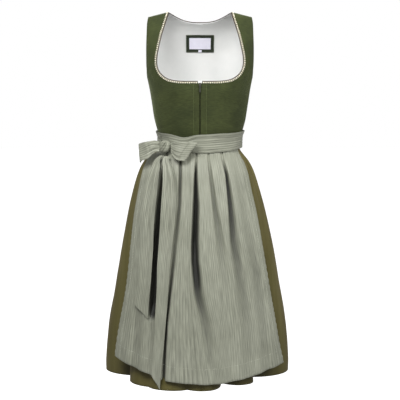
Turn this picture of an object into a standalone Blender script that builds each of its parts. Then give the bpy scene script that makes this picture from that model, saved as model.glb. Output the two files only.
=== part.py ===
"""A dirndl dress at real size, in metres, worn form with no wearer.

Frame: +Z up, the front faces -Y, +X is the wearer's left. The origin is midway between the straps
at shoulder height, where a wearer holds the dress up. Cloth is a thin closed wall, worked out from
cross sections of the dress and from a row for each fold.
"""

from collections import namedtuple
from math import asin, cos, exp, pi, radians, sin

import bmesh
import bpy
import numpy as np

# Cloth and seams.
SEAM_GAP = 0.0003
BODICE_WALL = 0.0012
LINING_WALL = 0.0010
LINING_GAP = 0.0012  # between bodice and lining, more than a seam because both curve
SKIRT_WALL = 0.0012
APRON_WALL = 0.0012
TIE_WALL = 0.0012
EDGING_WALL = 0.0008

# Heights.
WAIST_Z = -0.3450  # seam between bodice and skirt
UNDERARM_Z = -0.1850
NECK_FRONT_Z = -0.1850
BAND_TOP_Z = -0.3300
BAND_BOTTOM_Z = -0.3780
SKIRT_HEM_Z = -1.0275

# The figure under the bodice.
Section = namedtuple("Section", "z half_width front back power")
TORSO = [
    Section(*row)
    for row in (
        (-0.380, 0.1120, 0.0882, 0.0790, 2.10),
        (-0.345, 0.1126, 0.0886, 0.0794, 2.10),
        (-0.325, 0.1195, 0.0935, 0.0830, 2.12),
        (-0.295, 0.1275, 0.1005, 0.0880, 2.15),
        (-0.255, 0.1335, 0.1090, 0.0935, 2.20),
        (-0.205, 0.1415, 0.1180, 0.1000, 2.20),
        (-0.150, 0.1525, 0.1130, 0.1020, 2.20),
        (-0.100, 0.1570, 0.0960, 0.0980, 2.25),
        (-0.055, 0.1575, 0.0720, 0.0820, 2.30),
        (-0.022, 0.1565, 0.0440, 0.0520, 2.35),
        (-0.006, 0.1550, 0.0220, 0.0250, 2.35),
        (-0.0013, 0.1540, 0.0110, 0.0120, 2.35),
        (0.000, 0.1540, 0.0000, 0.0000, 2.35),
    )
]
SHOULDER_SLOPE = 0.25  # fall of the strap for each metre outwards of the neck
SHOULDER_SLOPE_FROM = 0.088
SHOULDER_SLOPE_DEPTH = 0.12  # the fall dies away this far below the shoulder
SHOULDER_SEAM_LEVELS = 0.05  # rows of TORSO left open at the shoulder seam, about half its gap
NORMAL_STEP = 0.002  # how far apart the places are that give the torso's slope
BUST_X, BUST_Z = 0.072, -0.176  # cut of the cups
BUST_RISE = 0.0110
BUST_SPREAD_X, BUST_SPREAD_Z = 0.040, 0.048

# Edges of the bodice, in the front view.
EdgePoint = namedtuple("EdgePoint", "x z")
ZIP_HALF_GAP = 0.0017
NECK_POINT_X = 0.0880
NECKLINE_FRONT = [
    EdgePoint(*row)
    for row in (
        (ZIP_HALF_GAP, -0.1850),
        (0.0300, -0.1848),
        (0.0600, -0.1840),
        (0.0850, -0.1800),
        (0.1020, -0.1710),
        (0.1140, -0.1570),
        (0.1192, -0.1390),
        (0.1185, -0.1170),
        (0.1142, -0.0930),
        (0.1062, -0.0590),
        (0.0975, -0.0310),
        (0.0905, -0.0100),
        (NECK_POINT_X, 0.0000),
    )
]
ARMHOLE_FRONT = [
    EdgePoint(*row)
    for row in (
        (0.1462, -0.1825),
        (0.1464, -0.1750),
        (0.1470, -0.1600),
        (0.1476, -0.1300),
        (0.1478, -0.0900),
        (0.1468, -0.0500),
        (0.1457, -0.0180),
        (0.1430, 0.0000),
    )
]
NECKLINE_BACK = [
    EdgePoint(*row)
    for row in (
        (0.0000, -0.0290),
        (0.0240, -0.0280),
        (0.0480, -0.0225),
        (0.0690, -0.0120),
        (NECK_POINT_X, 0.0000),
    )
]
ARMHOLE_BACK = [
    EdgePoint(*row)
    for row in (
        (0.1462, -0.1825),
        (0.1462, -0.1750),
        (0.1458, -0.1600),
        (0.1445, -0.1300),
        (0.1430, -0.0900),
        (0.1425, -0.0500),
        (0.1430, -0.0180),
        (0.1430, 0.0000),
    )
]
FRONT_CENTRE_ROWS, FRONT_NECK_ROWS, FRONT_SIDE_ROWS = 7, 14, 12
BACK_CENTRE_ROWS, BACK_NECK_ROWS, BACK_SIDE_ROWS = 11, 7, 9
FRONT_SHARES = (0.0, 0.085, 0.21, 0.36, 0.52, 0.68, 0.84, 1.0)  # columns from the zip to the side
BACK_SHARES = (0.0, 0.17, 0.34, 0.51, 0.68, 0.84, 1.0)

# Skirt.
RingSection = namedtuple("RingSection", "z half_width front back power centre")
SKIRT = [
    RingSection(*row)
    for row in (
        (-1.0275, 0.2690, 0.2050, 0.1950, 1.90, -0.0070),
        (-0.9810, 0.2685, 0.2000, 0.1900, 1.90, -0.0070),
        (-0.8850, 0.2590, 0.1850, 0.1770, 1.90, -0.0068),
        (-0.7660, 0.2375, 0.1690, 0.1620, 1.90, -0.0065),
        (-0.6490, 0.2165, 0.1545, 0.1480, 1.90, -0.0068),
        (-0.5570, 0.1972, 0.1430, 0.1370, 1.95, -0.0088),
        (-0.4880, 0.1785, 0.1310, 0.1250, 1.95, -0.0100),
        (-0.4420, 0.1630, 0.1210, 0.1140, 2.00, -0.0100),
        (-0.4150, 0.1460, 0.1110, 0.1030, 2.00, -0.0070),
        (-0.3960, 0.1280, 0.1010, 0.0920, 2.05, -0.0040),
        (-0.3800, 0.1124, 0.0885, 0.0793, 2.10, 0.0000),
        (-0.3640, 0.1120, 0.0882, 0.0790, 2.10, 0.0000),
        (-0.3453, 0.1126, 0.0886, 0.0794, 2.10, 0.0000),
    )
]
# A row for each fold at the hem: where its crest and the valley after it lie, in degrees from the
# front towards +X, and how far each stands in from the fullest outline, in metres.
Fold = namedtuple("Fold", "crest crest_in valley valley_in")
SKIRT_FOLDS = [
    Fold(*row)
    for row in (
        (-97, 0.000, -74, 0.082),
        (-50, 0.012, -42, 0.014),
        (-31, 0.000, -9, 0.020),
        (7, 0.010, 29, 0.078),
        (46, 0.034, 67, 0.092),
        (99, 0.001, 110, 0.050),
        (121, 0.006, 136, 0.046),
        (150, 0.000, 163, 0.040),
        (178, 0.005, 194, 0.052),
        (207, 0.000, 222, 0.038),
        (235, 0.006, 248, 0.048),
    )
]
FOLDS_FROM_Z, FOLDS_FULL_Z = -0.400, -1.1508  # full below the hem, so they still open out there
VALLEY_SHARPNESS = 1.25
GATHERS, GATHER_DEPTH = 25, 0.0032
GATHERS_FROM_Z, GATHERS_FULL_Z, GATHERS_END_Z = -0.372, -0.420, -0.760
SKIRT_ROWS_Z = (-0.3453, -0.3785, -0.392, -0.414, -0.445, -0.495, -0.565, -0.655, -0.765, -0.885, -0.975, SKIRT_HEM_Z)
SKIRT_COLUMNS = 100
SIDE_SEAM_LEFT, SIDE_SEAM_RIGHT = 93.2, -93.2  # degrees, on the crests of the side folds
LEAST_FACING = 0.35  # where a fold's side turns further away, its wall gets no thicker

# Apron.
# How far the skirt stands in under the apron, and the apron's own edges in degrees.
ApronRow = namedtuple("ApronRow", "z under left right")
APRON = [
    ApronRow(*row)
    for row in (
        (-1.0275, 0.0060, -70.0, 73.0),
        (-0.9850, 0.0110, -69.0, 72.0),
        (-0.9000, 0.0240, -68.0, 68.5),
        (-0.7600, 0.0330, -66.5, 66.5),
        (-0.6500, 0.0330, -68.0, 65.5),
        (-0.5300, 0.0290, -69.5, 65.5),
        (-0.4500, 0.0180, -71.5, 66.5),
        (-0.4000, 0.0080, -76.0, 69.5),
        (-0.3780, 0.0040, -77.0, 70.0),
        (-0.3450, 0.0036, -77.0, 70.0),
    )
]
UNDER_OUTSIDE, UNDER_INSIDE = 3.0, 13.0  # degrees past and inside its edges over which that eases in
APRON_PROUD = 0.0026  # outer face of the apron over the fullest outline
APRON_TOP_Z, APRON_HEM_Z = -0.3560, -1.0050
# A row for each pressed-in valley: its place across the apron, 0 at the wearer's right, at the
# waist, half way down and at the hem, then its depth at the same heights, and its half width.
Valley = namedtuple("Valley", "top middle hem top_in middle_in hem_in half_width")
APRON_VALLEYS = [
    Valley(*row)
    for row in (
        (0.075, 0.070, 0.060, 0.0045, 0.0050, 0.0030, 0.026),
        (0.150, 0.140, 0.130, 0.0055, 0.0080, 0.0030, 0.022),
        (0.235, 0.222, 0.212, 0.0090, 0.0230, 0.0040, 0.021),
        (0.345, 0.340, 0.330, 0.0060, 0.0070, 0.0020, 0.024),
        (0.425, 0.420, 0.440, 0.0060, 0.0060, 0.0020, 0.022),
        (0.508, 0.492, 0.545, 0.0090, 0.0250, 0.0020, 0.020),
        (0.628, 0.672, 0.700, 0.0075, 0.0110, 0.0020, 0.026),
        (0.752, 0.782, 0.795, 0.0090, 0.0220, 0.0060, 0.021),
        (0.880, 0.885, 0.900, 0.0060, 0.0090, 0.0060, 0.026),
    )
]
VALLEY_MIDDLE_Z, VALLEYS_OPEN_Z = -0.620, -0.430
APRON_ROWS_Z = (
    (APRON_TOP_Z, -0.3785, -0.392, -0.412, -0.440, -0.485, -0.550, -0.630, -0.720, -0.820, -0.910, -0.970)
    + (APRON_HEM_Z,)
)
# The apron's hem rises this much at its side edges, on the wearer's right and left.
HEM_RISE_RIGHT, HEM_RISE_LEFT, HEM_RISE_POWER = 0.049, 0.027, 1.6
VALLEY_OFFSETS = (-1.7, -0.8, 0.0, 0.8, 1.7)  # columns in and beside a valley, in half widths
EDGE_PLACES, LEAST_COLUMN = (0.0, 0.02, 0.98, 1.0), 0.008

# Waistband and tie.
BAND_FROM, BAND_TO = -96.0, 96.0  # degrees
BAND_CLEAR, TIE_CLEAR = 0.0006, 0.0011
BAND_INSET_LOW, BAND_INSET_HIGH = 0.0020, 0.0005  # the band is this much narrower than the tie over it
BAND_COLUMNS, TIE_COLUMNS, BAND_ROWS = 40, 52, 4
TIE_PINCH_LOW, TIE_PINCH_HIGH = 0.006, 0.010  # the tie narrows by this much into the knot
TIE_PINCH_START, TIE_PINCH_END = 0.16, 0.07  # over these shares of its length at its two ends
KNOT_AT = -60.0  # degrees, where the tie is knotted
TIE_STOP = 9.0  # degrees left free each side of the knot's middle

# Bow.
LoopStep = namedtuple("LoopStep", "x y z half_width lean_share")
LOOP_RIGHT = [  # the loop on the wearer's right, which stands out past the waist
    LoopStep(*row)
    for row in (
        (-0.1135, -0.0800, -0.3640, 0.0130, 0.0),
        (-0.1280, -0.0860, -0.3660, 0.0185, 0.2),
        (-0.1480, -0.0850, -0.3740, 0.0235, 0.7),
        (-0.1640, -0.0740, -0.3820, 0.0250, 1.0),
        (-0.1670, -0.0640, -0.3840, 0.0252, 1.0),
        (-0.1620, -0.0560, -0.3830, 0.0245, 1.0),
        (-0.1460, -0.0540, -0.3760, 0.0215, 0.7),
        (-0.1300, -0.0580, -0.3690, 0.0170, 0.2),
        (-0.1195, -0.0665, -0.3650, 0.0125, 0.0),
    )
]
LOOP_RIGHT_LEAN = -0.0010
LOOP_LEFT = [  # the loop that lies over the front of the waist
    LoopStep(*row)
    for row in (
        (-0.0800, -0.0960, -0.3650, 0.0140, 0.0),
        (-0.0680, -0.1110, -0.3690, 0.0205, 0.2),
        (-0.0480, -0.1220, -0.3730, 0.0245, 0.6),
        (-0.0300, -0.1250, -0.3735, 0.0250, 0.9),
        (-0.0220, -0.1220, -0.3735, 0.0250, 1.0),
        (-0.0270, -0.1150, -0.3730, 0.0245, 0.9),
        (-0.0460, -0.1080, -0.3710, 0.0225, 0.6),
        (-0.0640, -0.1000, -0.3680, 0.0180, 0.2),
        (-0.0760, -0.0900, -0.3660, 0.0130, 0.0),
    )
]
LOOP_LEFT_LEAN = 0.0190  # its upper edge reaches this much further round than its middle
LOOP_COLUMNS, LOOP_ROWS = 17, 4
KNOT_MIDDLE = (-0.0975, -0.0800, -0.3660)
KNOT_FACING = (-0.62, -0.78, 0.0)
KNOT_HALF_WIDTH, KNOT_HALF_DEPTH, KNOT_HALF_HEIGHT = 0.0150, 0.0110, 0.0185
KNOT_PLEATS, KNOT_PLEAT, KNOT_SLANT = 8, 0.12, -0.12
KNOT_TURNS, KNOT_BANDS = 16, 9
KNOT_FLATNESS_UP, KNOT_FLATNESS_ROUND = 0.65, 0.8  # powers below 1 square the pillow up
# Each row of a tail: its place round the skirt in degrees, its heights at its two edges, and how far
# it hangs off the apron.
TailStep = namedtuple("TailStep", "z z_end start end out")
TAIL_RIGHT = [
    TailStep(*row)
    for row in (
        (-0.3890, -0.3890, -50.5, -46.5, 0.0200),
        (-0.4200, -0.4200, -54.5, -43.5, 0.0120),
        (-0.4700, -0.4700, -58.0, -43.5, 0.0060),
        (-0.5600, -0.5600, -58.5, -43.5, 0.0048),
        (-0.6500, -0.6500, -56.0, -42.8, 0.0044),
        (-0.7400, -0.7400, -54.5, -42.5, 0.0042),
        (-0.8000, -0.8330, -54.5, -42.0, 0.0042),
    )
]
TAIL_LEFT = [
    TailStep(*row)
    for row in (
        (-0.3890, -0.3890, -43.0, -37.0, 0.0200),
        (-0.4200, -0.4200, -40.0, -28.0, 0.0120),
        (-0.4700, -0.4700, -38.0, -22.5, 0.0060),
        (-0.5600, -0.5600, -37.5, -22.5, 0.0048),
        (-0.6800, -0.6800, -37.5, -26.0, 0.0044),
        (-0.8000, -0.8000, -36.0, -26.5, 0.0042),
        (-0.9100, -0.9100, -35.2, -27.2, 0.0042),
        (-0.9860, -1.0230, -34.8, -28.2, 0.0044),
    )
]
TAIL_ROWS, TAIL_COLUMNS = 13, 5
TAIL_RIPPLE, TAIL_FOLDS, TAIL_FOLD_SHIFT = 0.0008, 1.0, 0.15

# Zip.
ZIP_TOP_Z, ZIP_BOTTOM_Z, ZIP_ROWS = -0.1865, -0.3440, 14
ZIP_TAPE_HALF, ZIP_TAPE_WALL, ZIP_TAPE_CLEAR = 0.0105, 0.0009, 0.0011
CHAIN_HALF, CHAIN_FOOT_HALF, CHAIN_DEPTH = 0.0012, 0.0016, 0.0004
SLIDER_TOP_Z, SLIDER_HEIGHT = -0.1900, 0.0085
SLIDER_HALF_WIDTH, SLIDER_THICK = 0.0035, 0.0024
BRIDGE_STANDS, BRIDGE_BAR = 0.0024, 0.0008
BRIDGE_HALF_WIDTH, BRIDGE_HALF_HEIGHT = 0.0010, 0.0024
PULL_AXIS_Z = -0.1945
PULL_HALF_WIDTH, PULL_HALF_THICK, PULL_LENGTH = 0.0021, 0.00045, 0.0185
PULL_EYE, PULL_CLEAR = 0.0036, 0.0003
CUT_PAST, CUT_OVERLAP, SLOT_SUNK = 0.010, 0.001, 0.0002  # how far the slider's cutters run past its faces

# Neck edges and label.
PICOTS = 38  # points of the edging on each half of the front
EDGING_INSET, EDGING_ROOT, EDGING_TIP = 0.0004, 0.0016, 0.0042  # measured in from the neck edge
NECK_MIDDLE_FRONT_Z, NECK_MIDDLE_BACK_Z = -0.090, 0.100  # a height inside each half of the neck
PIPING_RADIUS, PIPING_SIDES = 0.0013, 5
LABEL_HALF_WIDTH, LABEL_TOP_Z, LABEL_BOTTOM_Z = 0.0385, -0.0670, -0.1120
LABEL_BORDER, LABEL_WALL = 0.0060, 0.0006
PATCH_LIFT, FACE_LIFT = 0.0020, 0.0029  # how far each layer of the label stands off the lining
TAB_HALF_WIDTH, TAB_TOP_Z, TAB_BOTTOM_Z = 0.0045, -0.1064, -0.1130
LABEL_ROWS, LABEL_COLUMNS = 4, 7


# Tables and splines.
def curve(values, at):
    """Catmull-Rom curve through the rows, at a place counted in rows."""
    rows = np.asarray(values, float)
    last = len(rows) - 1
    at = min(max(at, 0.0), float(last))
    i = min(int(at), last - 1)
    t = at - i
    here, after = rows[i], rows[i + 1]
    before = rows[i - 1] if i > 0 else 2 * here - after
    beyond = rows[i + 2] if i + 2 <= last else 2 * after - here
    return 0.5 * (
        2 * here
        + (after - before) * t
        + (2 * before - 5 * here + 4 * after - beyond) * t * t
        + (3 * here - before - 3 * after + beyond) * t**3
    )


def row_at(table, level):
    return type(table[0])(*(float(v) for v in curve(table, level)))


def level_of(table, z):
    """The place in the table, counted in rows, where its z is this one. Its z rises row by row."""
    low, high = 0.0, len(table) - 1.0
    for _ in range(40):
        middle = (low + high) / 2
        if row_at(table, middle).z < z:
            low = middle
        else:
            high = middle
    return (low + high) / 2


def signed_power(value, power):
    return abs(value) ** power * (1 if value >= 0 else -1)


def ease(value, start, end):
    """0 before start, 1 after end, and smooth between."""
    t = min(max((value - start) / (end - start), 0.0), 1.0)
    return t * t * (3 - 2 * t)


# The torso.
def torso_point(turn, level):
    """Outer face of the bodice. turn is 0 at the centre front and pi at the centre back."""
    s = row_at(TORSO, level)
    across = signed_power(sin(turn), 2 / s.power)
    ahead = signed_power(cos(turn), 2 / s.power)
    x = s.half_width * across
    y = -(s.front if ahead > 0 else s.back) * ahead
    outwards = max(0.0, abs(x) - SHOULDER_SLOPE_FROM)
    fade = min(max(1 + s.z / SHOULDER_SLOPE_DEPTH, 0.0), 1.0)
    z = s.z - SHOULDER_SLOPE * outwards * fade
    cup = exp(-(((abs(x) - BUST_X) / BUST_SPREAD_X) ** 2) - ((s.z - BUST_Z) / BUST_SPREAD_Z) ** 2)
    y -= BUST_RISE * cup * max(0.0, ahead)
    return np.array((x, y, z))


def torso_normal(turn, level):
    step, top = NORMAL_STEP, len(TORSO) - 1
    around = torso_point(turn + step, level) - torso_point(turn - step, level)
    upwards = torso_point(turn, min(level + step, top)) - torso_point(turn, level - step)
    normal = np.cross(around, upwards)
    return normal / np.linalg.norm(normal)


def turn_of(x, level, behind):
    s = row_at(TORSO, level)
    turn = asin(min(abs(x) / s.half_width, 1.0) ** (s.power / 2))
    return pi - turn if behind else turn


def edge_place(table, at, behind):
    """(turn, level) of a place on an edge that is drawn in the front view."""
    point = row_at(table, at)
    level = level_of(TORSO, min(point.z, 0.0))
    return np.array((turn_of(point.x, level, behind), level))


def seam_place(z, behind, centre):
    level = level_of(TORSO, z)
    if centre:
        return np.array((turn_of(0.0 if behind else ZIP_HALF_GAP, level, behind), level))
    gap_turn = SEAM_GAP / 2 / row_at(TORSO, level).front
    return np.array((pi / 2 + (gap_turn if behind else -gap_turn), level))


def bodice_edges(behind):
    """The inner and outer edge of a half panel, as (turn, level) for each row from the waist up."""
    if behind:
        neckline, armhole, neck_z = NECKLINE_BACK, ARMHOLE_BACK, NECKLINE_BACK[0].z
        centre_rows, neck_rows, side_rows = BACK_CENTRE_ROWS, BACK_NECK_ROWS, BACK_SIDE_ROWS
    else:
        neckline, armhole, neck_z = NECKLINE_FRONT, ARMHOLE_FRONT, NECK_FRONT_Z
        centre_rows, neck_rows, side_rows = FRONT_CENTRE_ROWS, FRONT_NECK_ROWS, FRONT_SIDE_ROWS
    inner = [
        seam_place(WAIST_Z + (neck_z - WAIST_Z) * i / centre_rows, behind, True)
        for i in range(centre_rows)
    ]
    inner += [
        edge_place(neckline, (len(neckline) - 1) * i / (neck_rows - 1), behind) for i in range(neck_rows)
    ]
    outer = [
        seam_place(WAIST_Z + (UNDERARM_Z - WAIST_Z) * i / (side_rows - 1), behind, False)
        for i in range(side_rows)
    ]
    arm_rows = len(inner) - side_rows
    outer += [edge_place(armhole, (len(armhole) - 1) * i / (arm_rows - 1), behind) for i in range(arm_rows)]
    for edge in (inner, outer):
        edge[-1][1] = len(TORSO) - 1 - SHOULDER_SEAM_LEVELS
    return inner, outer


def bodice_grid(behind, side):
    """Points and normals on half a panel, from -X to +X. side is +1 on the wearer's left."""
    inner, outer = bodice_edges(behind)
    shares = BACK_SHARES if behind else FRONT_SHARES
    grid, normals = [], []
    for first, last in zip(inner, outer):
        places = [first + (last - first) * share for share in shares][::side]
        grid.append([torso_point(side * turn, level) for turn, level in places])
        normals.append([torso_normal(side * turn, level) for turn, level in places])
    return np.array(grid), np.array(normals)


# Meshes.
def clear_scene():
    for obj in list(bpy.data.objects):
        bpy.data.objects.remove(obj, do_unlink=True)


def finish(name, red, green, blue, roughness, metallic=0.0):
    made = bpy.data.materials.new(name)
    made.use_nodes = True
    shader = made.node_tree.nodes["Principled BSDF"]
    shader.inputs["Base Color"].default_value = (red, green, blue, 1)
    shader.inputs["Roughness"].default_value = roughness
    shader.inputs["Metallic"].default_value = metallic
    made.diffuse_color = (red, green, blue, 1)
    return made


def mesh_object(name, points, faces, material):
    mesh = bpy.data.meshes.new(name)
    mesh.from_pydata([tuple(p) for p in points], [], faces)
    shape = bmesh.new()
    shape.from_mesh(mesh)
    bmesh.ops.remove_doubles(shape, verts=shape.verts, dist=1e-6)
    bmesh.ops.recalc_face_normals(shape, faces=shape.faces)
    shape.to_mesh(mesh)
    shape.free()
    mesh.shade_smooth()
    mesh.set_sharp_from_angle(angle=radians(40))
    mesh.materials.append(material)
    obj = bpy.data.objects.new(name, mesh)
    bpy.context.scene.collection.objects.link(obj)
    return obj


def slopes(grid, axis, wrap):
    if wrap:
        return np.roll(grid, -1, axis) - np.roll(grid, 1, axis)
    return np.gradient(grid, axis=axis)


def grid_normals(grid, wrap=False):
    """Unit normals of a grid whose rows run up and whose columns run towards +X on the front."""
    normals = np.cross(slopes(grid, 1, wrap), slopes(grid, 0, False))
    return normals / np.linalg.norm(normals, axis=2, keepdims=True)


def moved(grid, out, normals):
    """The grid moved out along its normals, by one distance or by one for each point."""
    return grid + np.broadcast_to(out, grid.shape[:2])[..., None] * normals


def shell_mesh(outer, inner, wrap=False, sewn=(None, 0), guide=None):
    """Points and triangles of a wall between two grids of the same size.

    sewn is (column, rows): that edge column stays open over so many rows, to join a neighbour's.
    Each cell is split along its shorter diagonal in the guide, so layers with one guide never cross.
    """
    guide = outer if guide is None else guide
    rows, columns = outer.shape[:2]
    size = rows * columns
    faces = []

    def index(i, j, layer):
        return layer * size + i * columns + j % columns

    def quad(a, b, c, d, other_way=False):
        faces.extend([(a, b, d), (b, c, d)] if other_way else [(a, b, c), (a, c, d)])

    for i in range(rows - 1):
        for j in range(columns if wrap else columns - 1):
            k = (j + 1) % columns
            first = np.linalg.norm(guide[i + 1, k] - guide[i, j])
            second = np.linalg.norm(guide[i, k] - guide[i + 1, j])
            for layer in (0, 1):
                corners = ((i, j), (i, j + 1), (i + 1, j + 1), (i + 1, j))
                quad(*(index(*corner, layer) for corner in corners), other_way=second < first)
    for j in range(columns if wrap else columns - 1):
        for i in (0, rows - 1):
            quad(index(i, j, 0), index(i, j + 1, 0), index(i, j + 1, 1), index(i, j, 1))
    for i in range(rows - 1):
        for j in () if wrap else (0, columns - 1):
            if j != sewn[0] or i >= sewn[1]:
                quad(index(i, j, 0), index(i + 1, j, 0), index(i + 1, j, 1), index(i, j, 1))
    points = np.concatenate([outer.reshape(-1, 3), inner.reshape(-1, 3)])
    return points, faces


def shell(name, outer, inner, material, wrap=False, guide=None):
    points, faces = shell_mesh(outer, inner, wrap, guide=guide)
    return mesh_object(name, points, faces, material)


def wall(name, grid, thickness, material, normals=None, wrap=False):
    """Cloth whose outer face is the grid."""
    if normals is None:
        normals = grid_normals(grid, wrap)
    return shell(name, grid, moved(grid, -thickness, normals), material, wrap)


def tube(name, path, radius, material, sides):
    """A round cord along the path, with flat ends."""
    path = np.asarray(path)
    ahead = np.gradient(path, axis=0)
    ahead /= np.linalg.norm(ahead, axis=1, keepdims=True)
    across = np.cross(ahead[0], (0.3, 0.2, 0.93))
    points, faces = [], []
    for centre, along in zip(path, ahead):
        across = across - along * np.dot(across, along)
        across /= np.linalg.norm(across)
        other = np.cross(along, across)
        for k in range(sides):
            angle = 2 * pi * k / sides
            points.append(centre + radius * (cos(angle) * across + sin(angle) * other))
    for i in range(len(path) - 1):
        for k in range(sides):
            a, b = i * sides + k, i * sides + (k + 1) % sides
            faces.append((a, b, b + sides))
            faces.append((a, b + sides, a + sides))
    faces.append(tuple(range(sides)))
    faces.append(tuple(range(len(points) - sides, len(points))))
    return mesh_object(name, points, faces, material)


# Bodice and its lining.
def own_side(points, behind):
    """Keeps a panel on its own side of the side and shoulder seams, which all lie at y = 0."""
    clear = points.copy()
    half = SEAM_GAP / 2
    clear[..., 1] = np.maximum(points[..., 1], half) if behind else np.minimum(points[..., 1], -half)
    return clear


def layer(grid, normals, depth, thickness, behind):
    """Both faces of one layer of the bodice, whose outer face lies this deep inside the bodice's."""
    outer = own_side(moved(grid, -depth, normals), behind)
    return outer, own_side(moved(grid, -depth - thickness, normals), behind)


def back_panel(name, depth, thickness, material):
    """One piece from armhole to armhole: two half panels that share the centre line up to the neck."""
    points, faces = [], []
    for side in (-1, 1):
        grid, normals = bodice_grid(True, side)
        outer, inner = layer(grid, normals, depth, thickness, True)
        centre_column = len(BACK_SHARES) - 1 if side < 0 else 0
        sewn = (centre_column, BACK_CENTRE_ROWS)
        more_points, more_faces = shell_mesh(outer, inner, sewn=sewn, guide=grid)
        faces += [tuple(k + len(points) for k in face) for face in more_faces]
        points += list(more_points)
    mesh_object(name, points, faces, material)


def make_bodice(green, white):
    lining_depth = BODICE_WALL + LINING_GAP
    for side, where in ((1, "left"), (-1, "right")):
        grid, normals = bodice_grid(False, side)
        shell(f"bodice_front_{where}", *layer(grid, normals, 0, BODICE_WALL, False), green)
        # The lining stops short of the zip, so its first column gives way to the tape.
        kept = slice(1, None) if side > 0 else slice(None, -1)
        faces = layer(grid[:, kept], normals[:, kept], lining_depth, LINING_WALL, False)
        shell(f"lining_front_{where}", *faces, white, guide=grid[:, kept])
    back_panel("bodice_back", 0, BODICE_WALL, green)
    back_panel("lining_back", lining_depth, LINING_WALL, white)


# Skirt and apron.
def ring_radius(section, angle):
    depth = section.front if cos(angle) > 0 else section.back
    x = abs(sin(angle)) / section.half_width
    y = abs(cos(angle)) / depth
    return (x**section.power + y**section.power) ** (-1 / section.power)


def narrow(share):
    """0 on a crest and 1 in a valley, and flatter about the crest."""
    return (1 - cos(pi / 2 * share)) ** VALLEY_SHARPNESS


def fold_in(angle):
    """How far the hem stands in at this angle: broad rounded crests and narrower valleys."""
    degrees_round = np.degrees(angle)
    start = SKIRT_FOLDS[0].crest
    degrees_round = (degrees_round - start) % 360 + start
    for fold, after in zip(SKIRT_FOLDS, SKIRT_FOLDS[1:] + [SKIRT_FOLDS[0]]):
        next_crest = after.crest if after is not SKIRT_FOLDS[0] else after.crest + 360
        if degrees_round <= fold.valley:
            share = (degrees_round - fold.crest) / (fold.valley - fold.crest)
            return fold.crest_in + (fold.valley_in - fold.crest_in) * narrow(share)
        if degrees_round <= next_crest:
            share = (next_crest - degrees_round) / (next_crest - fold.valley)
            return after.crest_in + (fold.valley_in - after.crest_in) * narrow(share)
    return 0.0


def under_apron(angle, z):
    row = row_at(APRON, level_of(APRON, z))
    degrees_round = np.degrees(angle)
    from_left = ease(degrees_round, row.left - UNDER_OUTSIDE, row.left + UNDER_INSIDE)
    to_right = 1 - ease(degrees_round, row.right - UNDER_INSIDE, row.right + UNDER_OUTSIDE)
    return row.under * from_left * to_right


def ring_point(angle, z, inwards=0.0):
    section = row_at(SKIRT, level_of(SKIRT, z))
    radius = ring_radius(section, angle) - inwards
    return np.array((section.centre + radius * sin(angle), -radius * cos(angle), z))


def skirt_point(angle, z):
    full = ease(-z, -FOLDS_FROM_Z, -FOLDS_FULL_Z)
    gathered = ease(-z, -GATHERS_FROM_Z, -GATHERS_FULL_Z) * (1 - ease(-z, -GATHERS_FULL_Z, -GATHERS_END_Z))
    gather = GATHER_DEPTH * gathered * (1 - cos(GATHERS * angle)) / 2
    return ring_point(angle, z, fold_in(angle) * full + gather + under_apron(angle, z))


def make_skirt(olive):
    """Two widths, front and back, sewn at the sides. The wall keeps a gap at the side seams."""
    step = 2 * pi / SKIRT_COLUMNS
    seam = radians(SIDE_SEAM_LEFT)
    spans = {
        "skirt_front": (radians(SIDE_SEAM_RIGHT), seam),
        "skirt_back": (seam, 2 * pi + radians(SIDE_SEAM_RIGHT)),
    }
    for name, (start, end) in spans.items():
        count = round((end - start) / step)
        angles = [start + (end - start) * i / count for i in range(count + 1)]
        gap_turn = SEAM_GAP / 2 / SKIRT[-1].half_width
        angles[0] += gap_turn
        angles[-1] -= gap_turn
        grid = np.array([[skirt_point(angle, z) for angle in angles] for z in reversed(SKIRT_ROWS_Z)])
        # The wall is moved in straight towards the axis, so that neither width crosses its seams.
        axis = np.stack([np.full(grid.shape[:2], SKIRT[0].centre), 0 * grid[..., 1], grid[..., 2]], axis=2)
        inwards = axis - grid
        inwards /= np.linalg.norm(inwards, axis=2, keepdims=True)
        facing = -(inwards * grid_normals(grid)).sum(axis=2)
        thickness = SKIRT_WALL / np.clip(facing, LEAST_FACING, 1.0)
        shell(name, grid, grid + inwards * thickness[..., None], olive)


# Apron: shapes.
def apron_share(place, z):
    """Where a column lies across the apron at this height. It follows the valleys down."""
    down = (-z + APRON_TOP_Z) / (-VALLEY_MIDDLE_Z + APRON_TOP_Z)
    tops = [0.0] + [v.top for v in APRON_VALLEYS] + [1.0]
    if down < 1:
        below = [v.top + (v.middle - v.top) * down for v in APRON_VALLEYS]
    else:
        rest = ease(-z, -VALLEY_MIDDLE_Z, -APRON_HEM_Z)
        below = [v.middle + (v.hem - v.middle) * rest for v in APRON_VALLEYS]
    return float(np.interp(place, tops, [0.0] + below + [1.0]))


def valley_depth(valley, z):
    if z > VALLEY_MIDDLE_Z:
        deeper = ease(-z, -APRON_TOP_Z, -VALLEY_MIDDLE_Z)
        starts = ease(-z, -APRON_TOP_Z, -VALLEYS_OPEN_Z)
        return starts * (valley.top_in + (valley.middle_in - valley.top_in) * deeper)
    fade = ease(-z, -VALLEY_MIDDLE_Z, -APRON_HEM_Z)
    return valley.middle_in + (valley.hem_in - valley.middle_in) * fade


def apron_in(place, z):
    total = 0.0
    for valley in APRON_VALLEYS:
        total += valley_depth(valley, z) * exp(-(((place - valley.top) / valley.half_width) ** 2))
    return total


def apron_angle(place, z):
    row = row_at(APRON, level_of(APRON, z))
    return radians(row.left + (row.right - row.left) * apron_share(place, z))


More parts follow.
